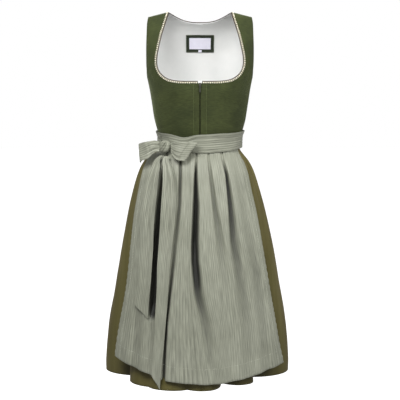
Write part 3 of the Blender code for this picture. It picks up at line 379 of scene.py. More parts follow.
def clothMaterial(name, look):
    # Woven cloth. Object noise mottles it, the cloth UV carries threads and stripes in real metres.
    made, tree, shader = newMaterial(name, {
        "Roughness": look["rough"],
        "Specular IOR Level": look.get("specular", 0.3),
        "Sheen Weight": look.get("sheen", 0),
        "Sheen Roughness": look.get("sheenRough", 0.5),
        "Sheen Tint": colour(look.get("sheenTint", "#ffffff")),
    })
    where = addNode(tree, "ShaderNodeTexCoord")
    drawn = addNode(
        tree, "ShaderNodeMapping",
        {"Vector": where.outputs["Object"], "Scale": look.get("stretch", (1, 1, 1))},
    )
    mottle = addNode(tree, "ShaderNodeTexNoise", {
        "Vector": drawn.outputs["Vector"], "Scale": 1000 / look["mottleMm"], "Detail": 3, "Roughness": 0.55,
    })
    shades = addNode(tree, "ShaderNodeValToRGB", {"Fac": mottle.outputs["Fac"]})
    for end, place, tone in zip(shades.color_ramp.elements, (0.32, 0.68), (look["deep"], look["light"])):
        end.position, end.color = place, colour(tone)
    places = addNode(tree, "ShaderNodeSeparateXYZ", {"Vector": where.outputs["UV"]})
    uvPlace = {"u": places.outputs["X"], "v": places.outputs["Y"]}

    # Slubs: long thin flecks that run with the threads.
    threads = addNode(
        tree, "ShaderNodeMapping", {"Vector": where.outputs["UV"], "Scale": look.get("slub", (900, 60, 1))}
    )
    slubs = addNode(
        tree, "ShaderNodeTexNoise", {"Vector": threads.outputs["Vector"], "Scale": 1, "Detail": 2}
    )
    fleck = addNode(tree, "ShaderNodeMath", {0: slubs.outputs["Fac"], 1: 0.5}, operation="SUBTRACT")
    lift = addNode(
        tree, "ShaderNodeMath", {0: fleck.outputs[0], 1: look["fleck"], 2: 1.0}, operation="MULTIPLY_ADD"
    )
    if "stripeMm" in look:
        # A light stripe, a dark one and ground between, in each pitch. The slubs make their edges wander.
        pitches = addNode(
            tree, "ShaderNodeMath", {0: uvPlace[look["stripeAlong"]], 1: 1000 / look["stripeMm"]},
            operation="MULTIPLY",
        )
        wobble = addNode(tree, "ShaderNodeMath", {0: slubs.outputs["Fac"], 1: 0.22}, operation="MULTIPLY")
        moved = addNode(
            tree, "ShaderNodeMath", {0: pitches.outputs[0], 1: wobble.outputs[0]}, operation="ADD"
        )
        part = addNode(tree, "ShaderNodeMath", {0: moved.outputs[0]}, operation="FRACT")
        stripes = addNode(tree, "ShaderNodeValToRGB", {"Fac": part.outputs[0]})
        ends = stripes.color_ramp.elements
        for end, place in zip(ends, (0.0, 1.0)):
            end.position, end.color = place, (1, 1, 1, 1)
        for place, tone in look["stripes"]:
            ends.new(place).color = (tone, tone, tone, 1)
        lift = addNode(
            tree, "ShaderNodeMath", {0: lift.outputs[0], 1: stripes.outputs["Color"]}, operation="MULTIPLY"
        )
    if "foldDark" in look:
        # The modelled folds are shallower than real pleats, so the cloth itself takes on part of their shade.
        fold = addNode(tree, "ShaderNodeAttribute", attribute_name="foldDepth")
        shade = addNode(
            tree, "ShaderNodeMapRange",
            {"Value": fold.outputs["Fac"], "To Min": 1.0, "To Max": look["foldDark"]},
        )
        lift = addNode(
            tree, "ShaderNodeMath", {0: lift.outputs[0], 1: shade.outputs["Result"]}, operation="MULTIPLY"
        )
    grey = addNode(tree, "ShaderNodeCombineXYZ", {axis: lift.outputs[0] for axis in "XYZ"})
    mixed = addNode(
        tree, "ShaderNodeVectorMath", {0: shades.outputs["Color"], 1: grey.outputs[0]}, operation="MULTIPLY"
    )
    tree.links.new(mixed.outputs[0], shader.inputs["Base Color"])

    # Threads over and under: two crossed waves over the crinkles of the cloth.
    waves = []
    for place in uvPlace.values():
        turn = addNode(
            tree, "ShaderNodeMath", {0: place, 1: 2 * pi * 1000 / look["threadMm"]}, operation="MULTIPLY"
        )
        waves.append(addNode(tree, "ShaderNodeMath", {0: turn.outputs[0]}, operation="SINE").outputs[0])
    weave = addNode(tree, "ShaderNodeMath", dict(enumerate(waves)), operation="MULTIPLY")
    woven = addNode(
        tree, "ShaderNodeMath", {0: weave.outputs[0], 1: look["threadHigh"] / 2}, operation="MULTIPLY"
    )
    crinkle = addNode(tree, "ShaderNodeTexNoise", {
        "Vector": where.outputs["Object"], "Scale": 1000 / look["crinkleMm"], "Detail": 4, "Roughness": 0.6,
    })
    height = addNode(
        tree, "ShaderNodeMath", {0: crinkle.outputs["Fac"], 1: look["crinkleHigh"], 2: woven.outputs[0]},
        operation="MULTIPLY_ADD",
    )
    # Heights are in millimetres.
    bump = addNode(tree, "ShaderNodeBump", {"Height": height.outputs[0], "Distance": 0.001, "Strength": 1.0})
    tree.links.new(bump.outputs["Normal"], shader.inputs["Normal"])
    return made


# Loden-like woven bodice cloth of wool and linen: matt, slightly hairy, two greens twisted together.
bodiceCloth = clothMaterial("wovenLodenGreen", {
    "deep": "#30371c", "light": "#414826", "mottleMm": 70, "fleck": 0.95, "slub": (75, 330, 1),
    "rough": 0.88, "sheen": 0.45, "sheenRough": 0.35, "sheenTint": "#a4ae86",
    "threadMm": 1.3, "threadHigh": 0.16, "crinkleMm": 9, "crinkleHigh": 0.12,
})
# Bleached cotton lining: white, matt, hardly any relief.
liningCloth = clothMaterial("cottonLiningWhite", {
    "deep": "#d3d4d2", "light": "#dadad8", "mottleMm": 60, "fleck": 0.05, "rough": 0.9,
    "threadMm": 0.9, "threadHigh": 0.05, "crinkleMm": 26, "crinkleHigh": 0.25,
})
# Changing taffeta: olive warp and brown weft give a soft gloss with a warm tone in the lights.
# Its mottle is stretched into long upright streaks, lighter and darker: painted sheen streaks over the
# cloth's own tone.
skirtCloth = clothMaterial("taffetaOliveBrown", {
    "deep": "#565029", "light": "#676139", "mottleMm": 24, "stretch": (1, 1, 0.05), "fleck": 0.16,
    "slub": (60, 900, 1), "foldDark": 0.36,
    "rough": 0.48, "specular": 0.3, "sheen": 0.22, "sheenTint": "#b08c4c", "sheenRough": 0.35,
    "threadMm": 0.8, "threadHigh": 0.03, "crinkleMm": 45, "crinkleHigh": 0.9,
})
# Half silk apron cloth: grey green with light pinstripes and dark ones between them.
# The real stripes are about 3 mm apart and are drawn at twice that so that they show.
apronLook = {
    "deep": "#868879", "light": "#939586", "mottleMm": 120, "fleck": 1.1, "slub": (420, 20, 1),
    "rough": 0.5, "specular": 0.35, "sheen": 0.15, "sheenTint": "#e8ead8",
    "stripeMm": 5.6, "stripeAlong": "u",
    "stripes": (
        (0.10, 1.0), (0.16, 1.18), (0.24, 1.18), (0.30, 0.99),
        (0.52, 0.97), (0.58, 0.76), (0.66, 0.76), (0.72, 0.99),
    ),
    "threadMm": 1.0, "threadHigh": 0.06, "crinkleMm": 30, "crinkleHigh": 0.35,
}
apronCloth = clothMaterial("halfSilkPinstripeSage", {**apronLook, "foldDark": 0.05})
bandCloth = clothMaterial("halfSilkPinstripeAlong", {
    **apronLook, "stripeAlong": "v", "slub": (20, 420, 1),
    "stripes": (
        (0.10, 1.0), (0.16, 1.25), (0.26, 1.25), (0.32, 0.98),
        (0.50, 0.96), (0.56, 0.64), (0.68, 0.64), (0.74, 0.98),
    ),
})
# Cotton picot braid: cream, matt and fluffy.
braidCotton = clothMaterial("cottonPicotBraid", {
    "deep": "#f3e8cf", "light": "#fbf4e2", "mottleMm": 8, "fleck": 0.2, "rough": 0.85,
    "threadMm": 0.6, "threadHigh": 0.08, "crinkleMm": 3, "crinkleHigh": 0.2,
})
# Thin cotton piping cord cover, red brown.
pipingCotton = clothMaterial("cottonPipingBrown", {
    "deep": "#33201a", "light": "#422a20", "mottleMm": 10, "fleck": 0.2, "rough": 0.8,
    "threadMm": 0.5, "threadHigh": 0.05, "crinkleMm": 4, "crinkleHigh": 0.1,
})
# Woven polyester zip tape, near black green and rather flat.
zipTapeCloth = clothMaterial("polyesterZipTape", {
    "deep": "#0e110b", "light": "#151910", "mottleMm": 12, "fleck": 0.2, "rough": 0.75,
    "threadMm": 0.7, "threadHigh": 0.08, "crinkleMm": 10, "crinkleHigh": 0.05,
})
# Satin woven label: dark green edge and a white field, left bare.
labelEdgeCloth = clothMaterial("satinLabelGreen", {
    "deep": "#22281e", "light": "#2c3326", "mottleMm": 14, "fleck": 0.3, "rough": 0.6,
    "threadMm": 0.7, "threadHigh": 0.05, "crinkleMm": 12, "crinkleHigh": 0.2,
})
labelWhiteCloth = clothMaterial("satinLabelWhite", {
    "deep": "#d6d4e2", "light": "#dddbe8", "mottleMm": 20, "fleck": 0.04, "rough": 0.5, "specular": 0.4,
    "threadMm": 0.7, "threadHigh": 0.03, "crinkleMm": 14, "crinkleHigh": 0.15,
})


def threadMaterial(name, hexCode, rough):
    # Twisted polyester sewing thread: slight gloss, its tone varied a little along a seam.
    made, tree, shader = newMaterial(
        name, {"Roughness": rough, "Sheen Weight": 0.1, "Specular IOR Level": 0.4}
    )
    where = addNode(tree, "ShaderNodeTexCoord")
    vary = addNode(tree, "ShaderNodeTexNoise", {"Vector": where.outputs["Object"], "Scale": 260, "Detail": 1})
    ramp = addNode(tree, "ShaderNodeValToRGB", {"Fac": vary.outputs["Fac"]})
    for end, share in zip(ramp.color_ramp.elements, (0.8, 1.15)):
        end.color = tuple(min(1, part * share) for part in colour(hexCode)[:3]) + (1,)
    tree.links.new(ramp.outputs["Color"], shader.inputs["Base Color"])
    return made


greenThread = threadMaterial("polyesterThreadGreen", "#76824c", 0.55)
sageThread = threadMaterial("polyesterThreadSage", "#dcdfcc", 0.5)
oliveThread = threadMaterial("polyesterThreadOlive", "#5c5832", 0.5)


def metalMaterial(name, hexCode, rough):
    # Die cast zinc with a satin lacquer: a little uneven where fingers rub it.
    made, tree, shader = newMaterial(name, {"Base Color": colour(hexCode), "Metallic": 1.0})
    where = addNode(tree, "ShaderNodeTexCoord")
    rub = addNode(tree, "ShaderNodeTexNoise", {"Vector": where.outputs["Object"], "Scale": 400, "Detail": 3})
    worn = addNode(
        tree, "ShaderNodeMapRange",
        {"Value": rub.outputs["Fac"], "To Min": rough - 0.07, "To Max": rough + 0.1},
    )
    tree.links.new(worn.outputs["Result"], shader.inputs["Roughness"])
    return made


zipMetal = metalMaterial("satinZincZip", "#5e5e56", 0.42)
toothMetal = metalMaterial("blackenedZipTeeth", "#17180f", 0.4)
print("materials made")


# Geometry Nodes: one tree for each small thing that repeats along a seam.
def repeatTree(name, makeShape, sizes):
    # Repeats a shape along edges that carry an "up" direction. Each size is a named input.
    tree = bpy.data.node_groups.new(name, "GeometryNodeTree")
    face = tree.interface
    face.new_socket("Geometry", in_out="INPUT", socket_type="NodeSocketGeometry")
    for key, value in sizes.items():
        face.new_socket(key, in_out="INPUT", socket_type="NodeSocketFloat").default_value = value
    face.new_socket("Seed", in_out="INPUT", socket_type="NodeSocketInt").default_value = 3
    face.new_socket("Finish", in_out="INPUT", socket_type="NodeSocketMaterial")
    face.new_socket("Geometry", in_out="OUTPUT", socket_type="NodeSocketGeometry")
    given = addNode(tree, "NodeGroupInput").outputs
    path = addNode(tree, "GeometryNodeMeshToCurve", {"Mesh": given["Geometry"]})
    spaced = addNode(tree, "GeometryNodeResampleCurve", {"Curve": path.outputs["Curve"]})
    setLengthMode(spaced)
    tree.links.new(given["Spacing"], spaced.inputs["Length"])
    tangent = addNode(tree, "GeometryNodeInputTangent")
    up = addNode(tree, "GeometryNodeInputNamedAttribute", {"Name": "up"}, data_type="FLOAT_VECTOR")
    along = addNode(
        tree, "FunctionNodeAlignRotationToVector", {"Vector": tangent.outputs["Tangent"]}, axis="X"
    )
    upright = addNode(
        tree, "FunctionNodeAlignRotationToVector",
        {"Rotation": along.outputs["Rotation"], "Vector": up.outputs["Attribute"]}, axis="Z", pivot_axis="X",
    )
    vary = addNode(tree, "FunctionNodeRandomValue", {"Seed": given["Seed"]}, data_type="FLOAT_VECTOR")
    vary.inputs[0].default_value = (0.9, 0.85, 0.85)
    vary.inputs[1].default_value = (1.06, 1.1, 1.1)
    placed = addNode(tree, "GeometryNodeInstanceOnPoints", {
        "Points": spaced.outputs["Curve"], "Instance": makeShape(tree, given),
        "Rotation": upright.outputs["Rotation"], "Scale": vary.outputs["Value"],
    })
    real = addNode(tree, "GeometryNodeRealizeInstances", {"Geometry": placed.outputs["Instances"]})
    smooth = addNode(tree, "GeometryNodeSetShadeSmooth", {0: real.outputs["Geometry"]})
    dressed = addNode(
        tree, "GeometryNodeSetMaterial", {"Geometry": smooth.outputs[0], "Material": given["Finish"]}
    )
    addNode(tree, "NodeGroupOutput", {"Geometry": dressed.outputs["Geometry"]})
    return tree


def setLengthMode(node):
    # The resample mode is a menu input in newer Blenders and a property in older ones.
    if "Mode" in node.inputs:
        node.inputs["Mode"].default_value = "Length"
    else:
        node.mode = "LENGTH"


def blockSize(tree, given):
    return addNode(
        tree, "ShaderNodeCombineXYZ", {"X": given["Length"], "Y": given["Width"], "Z": given["Height"]}
    ).outputs[0]


def stitchShape(tree, given):
    # One stitch: a long bead of thread.
    bead = addNode(tree, "GeometryNodeMeshUVSphere", {"Segments": 6, "Rings": 4, "Radius": 0.5})
    lying = addNode(
        tree, "GeometryNodeTransform", {"Geometry": bead.outputs["Mesh"], "Rotation": (0, pi / 2, 0)}
    )
    made = addNode(
        tree, "GeometryNodeTransform",
        {"Geometry": lying.outputs["Geometry"], "Scale": blockSize(tree, given)},
    )
    return made.outputs["Geometry"]


def picotShape(tree, given):
    # One picot: a loop of yarn that stands out sideways from the braid.
    ring = addNode(tree, "GeometryNodeCurvePrimitiveCircle", {"Resolution": 9, "Radius": 1.0})
    yarn = addNode(tree, "GeometryNodeCurvePrimitiveCircle", {"Resolution": 5, "Radius": given["Yarn"]})
    reach = addNode(tree, "ShaderNodeCombineXYZ", {"X": given["Half Width"], "Y": given["Reach"], "Z": 1.0})
    oval = addNode(
        tree, "GeometryNodeTransform", {"Geometry": ring.outputs["Curve"], "Scale": reach.outputs[0]}
    )
    loop = addNode(
        tree, "GeometryNodeCurveToMesh",
        {"Curve": oval.outputs["Geometry"], "Profile Curve": yarn.outputs["Curve"]},
    )
    shift = addNode(tree, "ShaderNodeCombineXYZ", {"Y": given["Offset"], "Z": given["Yarn"]})
    made = addNode(
        tree, "GeometryNodeTransform", {"Geometry": loop.outputs["Mesh"], "Translation": shift.outputs[0]}
    )
    return made.outputs["Geometry"]


def toothShape(tree, given):
    # One zip tooth: a small block that reaches over the middle of the chain.
    return addNode(tree, "GeometryNodeMeshCube", {"Size": blockSize(tree, given)}).outputs["Mesh"]


stitchTree = repeatTree(
    "stitchesAlongSeam", stitchShape, {"Spacing": 0.003, "Length": 0.0024, "Width": 0.0005, "Height": 0.0004}
)
picotTree = repeatTree(
    "picotsAlongNeck", picotShape,
    {"Spacing": 0.008, "Half Width": 0.0022, "Reach": 0.0016, "Yarn": 0.0005, "Offset": 0.0},
)
toothTree = repeatTree(
    "teethAlongZip", toothShape, {"Spacing": 0.0022, "Length": 0.0011, "Width": 0.0015, "Height": 0.0012}
)


def plainMesh(obj):
    return bpy.data.meshes.new_from_object(obj.evaluated_get(bpy.context.evaluated_depsgraph_get()))


def alongPaths(name, tree, paths, ups, material, **inputs):
    # Runs a tree along polylines and keeps the result as a plain mesh object.
    points, edges, normals = [], [], []
    for path, up in zip(paths, ups):
        start = len(points)
        points += [tuple(p) for p in path]
        normals += [tuple(n) for n in up]
        edges += [(start + i, start + i + 1) for i in range(len(path) - 1)]
    mesh = bpy.data.meshes.new(name + "Path")
    mesh.from_pydata(points, edges, [])
    ways = mesh.attributes.new("up", "FLOAT_VECTOR", "POINT")
    ways.data.foreach_set("vector", np.array(normals, np.float32).ravel())
    guide = addObject(name + "Path", mesh)
    run = guide.modifiers.new("run", "NODES")
    run.node_group = tree
    inputs["Finish"] = material
    for item in tree.interface.items_tree:
        key = item.name.replace(" ", "")
        if item.item_type == "SOCKET" and item.in_out == "INPUT" and key in inputs:
            run[item.identifier] = inputs[key]
    made = plainMesh(guide)
    made.name = name
    if "up" in made.attributes:
        made.attributes.remove(made.attributes["up"])
    guide.modifiers.clear()
    bpy.data.objects.remove(guide, do_unlink=True)
    return addObject(name, made)


# Spacing, length, width and height of each seam's stitches. The hems' are drawn thicker than real so that
# they show.
seams = {
    "apronHem": (0.0042, 0.0034, 0.0012, 0.0008),
    "apronSide": (0.0042, 0.0031, 0.0007, 0.0006),
    "skirtHem": (0.0044, 0.0032, 0.0006, 0.0005),
    "zip": (0.0031, 0.0023, 0.0006, 0.0005),
    "label": (0.0032, 0.0024, 0.0006, 0.0005),
}


def sewStitches(name, seam, paths, ups, thread, slotName):
    spacing, long, wide, high = seams[seam]
    stitches = alongPaths(
        name, stitchTree, paths, ups, thread, Spacing=spacing, Length=long, Width=wide, Height=high
    )
    wear(stitches, slotName)


# Bodice: fronts and back, their lining, and everything along their edges.
bodice = {
    "dartDepth": 0.0007,  # groove of each sewn dart
    "dartWidth": 0.0011,
    "pullDepth": 0.0006,  # soft pulls in the worn cloth
    "rimRound": 0.35,
}
# Pulls in the cloth of each half: start and end in x and height, width, depth, and the share of that depth
# at the wearer's right.
frontPulls = (
    ((0.122, -0.262), (0.075, -0.240), 0.005, 0.0010, 0.7),
    ((0.118, -0.322), (0.070, -0.300), 0.005, 0.0011, 1.0),
    ((0.112, -0.335), (0.050, -0.322), 0.0045, 0.0010, 0.7),
    ((0.146, -0.150), (0.128, -0.190), 0.005, 0.0010, 1.0),
    ((0.126, -0.120), (0.140, -0.160), 0.004, 0.0006, 0.7),
    ((0.055, -0.215), (0.085, -0.205), 0.012, -0.0010, 1.0),
)
backPulls = (
    ((0.040, -0.335), (0.105, -0.290), 0.006, 0.0009, 1.0),
    ((0.030, -0.300), (0.100, -0.245), 0.008, 0.0006, 1.0),
)


def bodyRelief(x, z, behind):
    # How far the cloth of bodice and lining stands in from the plain form, the same for every layer.
    across = np.abs(x)
    relief = bodice["pullDepth"] * wave(x, z * 0.7, 11 if behind else 4, 0.085)
    for start, end, width, depth, rightShare in backPulls if behind else frontPulls:
        relief = relief + crease(across, z, start, end, width, depth) * np.where(x > 0, 1.0, rightShare)
    return relief * (1 - 0.85 * ease(z, -0.12, -0.03)) * (1 - ease(-across, -0.012, -0.004))


def seamGroove(x, z, behind):
    # Sewn darts and panel seams show on the outer cloth only.
    if behind:
        # Two curved seams run from the armholes down to the waist.
        line = 0.052 + 0.062 * ease(z, -0.30, -0.125) ** 1.4 + 0.03 * ease(z, -0.16, -0.10)
        length = 1 - ease(z, -0.125, -0.115)
    else:
        # A dart rises from the waist to below the fullest part.
        line = 0.066 + 0.010 * ease(z, -0.345, -0.215)
        length = 1 - ease(z, -0.232, -0.205)
    return bodice["dartDepth"] * bell(np.abs(x) - line, bodice["dartWidth"]) * length


def bodyPoint(turn, level, behind, depth=0.0, groove=False):
    point = torsoPoint(turn, level)
    normal = torsoNormal(turn, level)
    inwards = depth + bodyRelief(point[..., 0], point[..., 2], behind)
    if groove:
        inwards = inwards + seamGroove(point[..., 0], point[..., 2], behind)
    return point - inwards[..., None] * normal, normal


def onBody(x, z, behind=False, depth=0.0):
    # Points on the bodice at these places of the front view, this far inside its outer face.
    x, z = np.broadcast_arrays(np.asarray(x, float), np.asarray(z, float))
    level = levelOf(torsoRows, z)
    turn = turnOf(np.abs(x), level, behind) * np.where(x >= 0, 1, -1)
    return bodyPoint(turn, level, behind, depth)


def ownSide(points, behind):
    # Keeps a panel on its side of the side seams.
    clear = points.copy()
    half = size["seamGap"] / 2
    clear[..., 1] = np.maximum(points[..., 1], half) if behind else np.minimum(points[..., 1], -half)
    return clear


def panelPiece(name, behind, side, depth, wall, material, groove, shares, rowSteps=5):
    turns, levels = panelGrid(behind, side, rowSteps, shares)
    outer, _ = bodyPoint(turns, levels, behind, depth, groove)
    inner, _ = bodyPoint(turns, levels, behind, depth + wall)
    return clothShell(
        name, ownSide(outer, behind), ownSide(inner, behind), material, rimRound=bodice["rimRound"]
    )


def joined(name, parts, weld=2e-5):
    # One object from several, welded where they meet.
    built = bmesh.new()
    for part in parts:
        built.from_mesh(part.data)
    bmesh.ops.remove_doubles(built, verts=built.verts, dist=weld)
    keep = parts[0]
    built.to_mesh(keep.data)
    built.free()
    keep.data.name = keep.name = name
    for part in parts[1:]:
        bpy.data.objects.remove(part, do_unlink=True)
    return keep


def backPiece(name, depth, wall, material, groove):
    halves = []
    for tag, side in (("L", -1), ("R", 1)):
        halves.append(panelPiece(name + tag, True, side, depth, wall, material, groove, backShares))
    return joined(name, halves)


liningDepth = size["bodiceWall"] + size["liningGap"]
liningShares = frontShares[6:]  # the lining stops beside the zip
for side, where in ((1, "Left"), (-1, "Right")):
    panel = panelPiece(
        "bodiceFront" + where, False, side, 0, size["bodiceWall"], bodiceCloth, True, frontShares
    )
    wear(panel, "bodice_green", "bodice_front_" + where.lower())
    panel = panelPiece(
        "liningFront" + where, False, side, liningDepth, size["liningWall"], liningCloth, False, liningShares
    )
    wear(panel, "lining_white", "lining_front_" + where.lower())
panel = backPiece("bodiceBack", 0, size["bodiceWall"], bodiceCloth, True)
wear(panel, "bodice_green", "bodice_back")
panel = backPiece("liningBack", liningDepth, size["liningWall"], liningCloth, False)
wear(panel, "lining_white", "lining_back")
print("bodice and lining made")


# Neck edges: piping round the whole neck, and a picot braid on the fronts.
neckTrim = {
    "pipingRadius": 0.0010,
    "pipingGap": 0.0002,  # between the cut edge and the piping
    "pipingSides": 8,
    "braidRoot": 0.0006,  # from the cut edge to the braid's near side, over the cloth
    "braidWidth": 0.0005,
    "braidWall": 0.0004,
    "braidSteps": (0, 0.2, 0.5, 0.8, 1),  # shares of the braid's width where its section has a point
    "picotPitch": 0.0059,
    "picotHalf": 0.0007,
    "picotReach": 0.0032,
    "picotFrom": 0.85,  # share of the braid's width at which the picots are sewn on
    "picotOut": 0.0013,  # from there to a picot's middle
    "picotYarn": 0.00085,
}


def neckRun(behind, side, count, end):
    # Points along the neck edge, the normals there, and the ways that lead from the edge over the cloth.
    rows = necklineBack if behind else necklineFront
    places = onEdge(rows, np.linspace(0, end, count) * (len(rows) - 1), behind)
    levels = np.minimum(places[:, 1], len(torsoRows) - 1 - shoulder["seamLevels"])
    points, normals = bodyPoint(side * places[:, 0], levels, behind)
    over = unit(np.cross(normals, unit(np.gradient(points, axis=0))))
    if behind:
        return points, normals, over * -np.sign(over[:, 2].sum())
    fromOpening = (points + (0, 0, 0.09)) * (1, 0, 1)
    return points, normals, over * np.sign(np.sign((over * fromOpening).sum(axis=-1)).sum())


def ringFaces(rings, sides):
    # Faces of a closed tube whose rings follow each other, with both ends capped.
    faces = []
    for ring in range(rings - 1):
        for k in range(sides):
            here, after = ring * sides + k, ring * sides + (k + 1) % sides
            faces.append((here, after, after + sides, here + sides))
    faces.append(tuple(range(sides))[::-1])
    faces.append(tuple(range((rings - 1) * sides, rings * sides)))
    return faces


def roundTube(name, path, radius, sides, material):
    ahead = unit(np.gradient(path, axis=0))
    across = np.cross(ahead[0], (0.3, 0.2, 0.93))
    points, uvs = [], []
    run = np.concatenate([[0], np.cumsum(np.linalg.norm(np.diff(path, axis=0), axis=1))])
    for centre, along, far in zip(path, ahead, run):
        across = unit(across - along * np.dot(across, along))
        other = np.cross(along, across)
        for k in range(sides):
            turn = 2 * pi * k / sides
            points.append(centre + radius * (cos(turn) * across + sin(turn) * other))
            uvs.append((radius * turn, far))
    return makeObject(name, points, ringFaces(len(path), sides), material, uvs)


def pipingPath(run):
    points, normals, over = run
    layers = size["bodiceWall"] + size["liningGap"] + size["liningWall"]
    return points - normals * (layers / 2) - over * (neckTrim["pipingRadius"] + neckTrim["pipingGap"])


def pipingPiece(tag, path):
    cord = roundTube(
        "neckPiping" + tag, path, neckTrim["pipingRadius"], neckTrim["pipingSides"], pipingCotton
    )
    wear(cord, "piping_brown", "neck_piping_" + tag.lower())


def braidPiece(tag, side):
    points, normals, over = neckRun(False, side, 260, 0.996)
    lift = size["seamGap"] * 0.5
    root, width, high = neckTrim["braidRoot"], neckTrim["braidWidth"], neckTrim["braidWall"]
    outer, inner = [], []
    for share in neckTrim["braidSteps"]:
        place = points + over * (root + width * share)
        outer.append(place + normals * (lift + high * 4 * share * (1 - share)))
        inner.append(place + normals * lift * 0.6)
    outer, inner = np.array(outer), np.array(inner)
    if np.sum(gridNormals(outer)[2] * normals) < 0:
        outer, inner = outer[::-1], inner[::-1]
    braid = clothShell("neckBraid" + tag, ownSide(outer, False), ownSide(inner, False), braidCotton)
    wear(braid, "edging_cream", "neck_edging_" + tag.lower())
    path = points + over * (root + width * neckTrim["picotFrom"]) + normals * (lift * 2)
    sideways = 1.0 if np.sum(np.cross(normals, np.gradient(points, axis=0)) * over) > 0 else -1.0
    picots = alongPaths(
        "neckPicots" + tag, picotTree, [path[2:-2]], [normals[2:-2]], braidCotton,
        Spacing=neckTrim["picotPitch"], HalfWidth=neckTrim["picotHalf"], Reach=neckTrim["picotReach"] / 2,
        Yarn=neckTrim["picotYarn"], Offset=sideways * neckTrim["picotOut"], Seed=5,
    )
    wear(picots, "edging_cream")


for side, where in ((1, "Left"), (-1, "Right")):
    pipingPiece(where, pipingPath(neckRun(False, side, 150, 0.992)))
    braidPiece(where, side)
halves = [pipingPath(neckRun(True, side, 60, 0.985)) for side in (-1, 1)]
pipingPiece("Back", np.concatenate([halves[0][::-1], halves[1][1:]]))
print("neck edges made")


# Zip: tape behind the fronts, teeth in the gap, and a folded end of white lining tacked above it.
zipper = {
    "topZ": -0.1865, "bottomZ": -0.3440, "tapeHalf": 0.0105, "tapeWall": 0.0009, "tapeClear": 0.0011,
    "toothPitch": 0.0022, "toothIn": 0.0009, "toothSide": 0.0004, "stitchFrom": 0.0172, "stitchTo": 0.0026,
    "stitchTopZ": -0.1895, "stitchBottomZ": -0.3425, "crossZ": -0.2040,
}
guard = {"half": 0.0056, "lowZ": -0.1883, "highZ": -0.1822, "proud": 0.0021, "wall": 0.0006, "bulge": 0.0006}


def tapeAndTeeth():
    heights = np.linspace(zipper["bottomZ"], zipper["topZ"], 80)
    across = np.linspace(-zipper["tapeHalf"], zipper["tapeHalf"], 11)
    depth = size["bodiceWall"] + zipper["tapeClear"]
    outer, _ = onBody(across[None, :], heights[:, None], depth=depth)
    inner, _ = onBody(across[None, :], heights[:, None], depth=depth + zipper["tapeWall"])
    wear(clothShell("zipTape", outer, inner, zipTapeCloth), "zip_green", "zip_tape")
    middle, normals = onBody(0, heights, depth=zipper["toothIn"])
    left = middle[1:-1] + (zipper["toothSide"], 0, 0)
    right = middle[2:-1] - (zipper["toothSide"], 0, 0) + (0, 0, zipper["toothPitch"] / 2)
    teeth = alongPaths(
        "zipTeeth", toothTree, [left, right], [normals[1:-1], normals[2:-1]], toothMetal,
        Spacing=zipper["toothPitch"], Seed=8,
    )
    wear(teeth, "zip_metal")


def zipGuard():
    across = np.linspace(-guard["half"], guard["half"], 13)[None, :]
    heights = np.linspace(guard["lowZ"], guard["highZ"], 9)[:, None]
    face, normal = onBody(across, heights, depth=-guard["proud"])
    up = (heights - guard["lowZ"]) / (guard["highZ"] - guard["lowZ"])
    bulge = guard["bulge"] * (1 - (across / guard["half"]) ** 2) * np.sin(up * pi)
    face = face + normal * bulge[..., None]
    flap = clothShell("zipGuard", face, face - normal * guard["wall"], liningCloth, rimRound=0.4)
    wear(flap, "lining_white")


tapeAndTeeth()
zipGuard()
print("zip tape and teeth made")


# Skirt and apron hang from ellipse-like rings round the waist.
# Height, half width, front depth, back depth, squareness and sideways centre.
ringRows = (
    (-1.0275, 0.2690, 0.2050, 0.1950, 1.90, -0.0070),
    (-0.9810, 0.2685, 0.2000, 0.1900, 1.90, -0.0070),
    (-0.8850, 0.2590, 0.1850, 0.1770, 1.90, -0.0068),
    (-0.7660, 0.2375, 0.1690, 0.1620, 1.90, -0.0065),
    (-0.6490, 0.2165, 0.1545, 0.1480, 1.90, -0.0068),
    (-0.5570, 0.1972, 0.1430, 0.1370, 1.95, -0.0088),
    (-0.4880, 0.1785, 0.1310, 0.1250, 1.95, -0.0100),
    (-0.4420, 0.1630, 0.1210, 0.1140, 2.00, -0.0100),
    (-0.4150, 0.1490, 0.1110, 0.1030, 2.00, -0.0100),
    (-0.3960, 0.1335, 0.1010, 0.0920, 2.05, -0.0095),
    (-0.3800, 0.1124, 0.0885, 0.0793, 2.10, 0.0000),
    (-0.3640, 0.1120, 0.0882, 0.0790, 2.10, 0.0000),
    (-0.3453, 0.1126, 0.0886, 0.0794, 2.10, 0.0000),
)
# Degrees of a fold's crest, how far it stands in, then the same for the valley after it.
foldRows = (
    (-97, 0.000, -74, 0.082), (-50, 0.012, -42, 0.014), (-31, 0.000, -9, 0.020), (7, 0.010, 29, 0.078),
    (46, 0.034, 67, 0.092), (99, 0.001, 110, 0.050), (121, 0.006, 136, 0.046), (150, 0.000, 163, 0.040),
    (178, 0.005, 194, 0.052), (207, 0.000, 222, 0.038), (235, 0.006, 248, 0.048),
)
skirt = {
    "topZ": -0.3453, "waistHalf": 0.1126, "foldsFrom": 0.400, "foldsFull": -size["hemZ"] * 1.12,
    "sharp": 1.25, "gathers": 25, "gatherDepth": 0.0032, "gathersFrom": 0.372, "gathersFull": 0.420,
    "gathersEnd": 0.760, "fineGathers": 71, "fineDepth": 0.0009, "crinkle": 0.0011, "hemStitchUp": 0.036,
    "hemGroove": 0.0012, "seam": 93.2, "columns": 500, "rows": 120, "clear": 0.0004, "wallShare": 0.7,
}
# Front and back run from seam to seam, in degrees from the centre front.
skirtSpans = {"Front": (-skirt["seam"], skirt["seam"]), "Back": (skirt["seam"], 360 - skirt["seam"])}
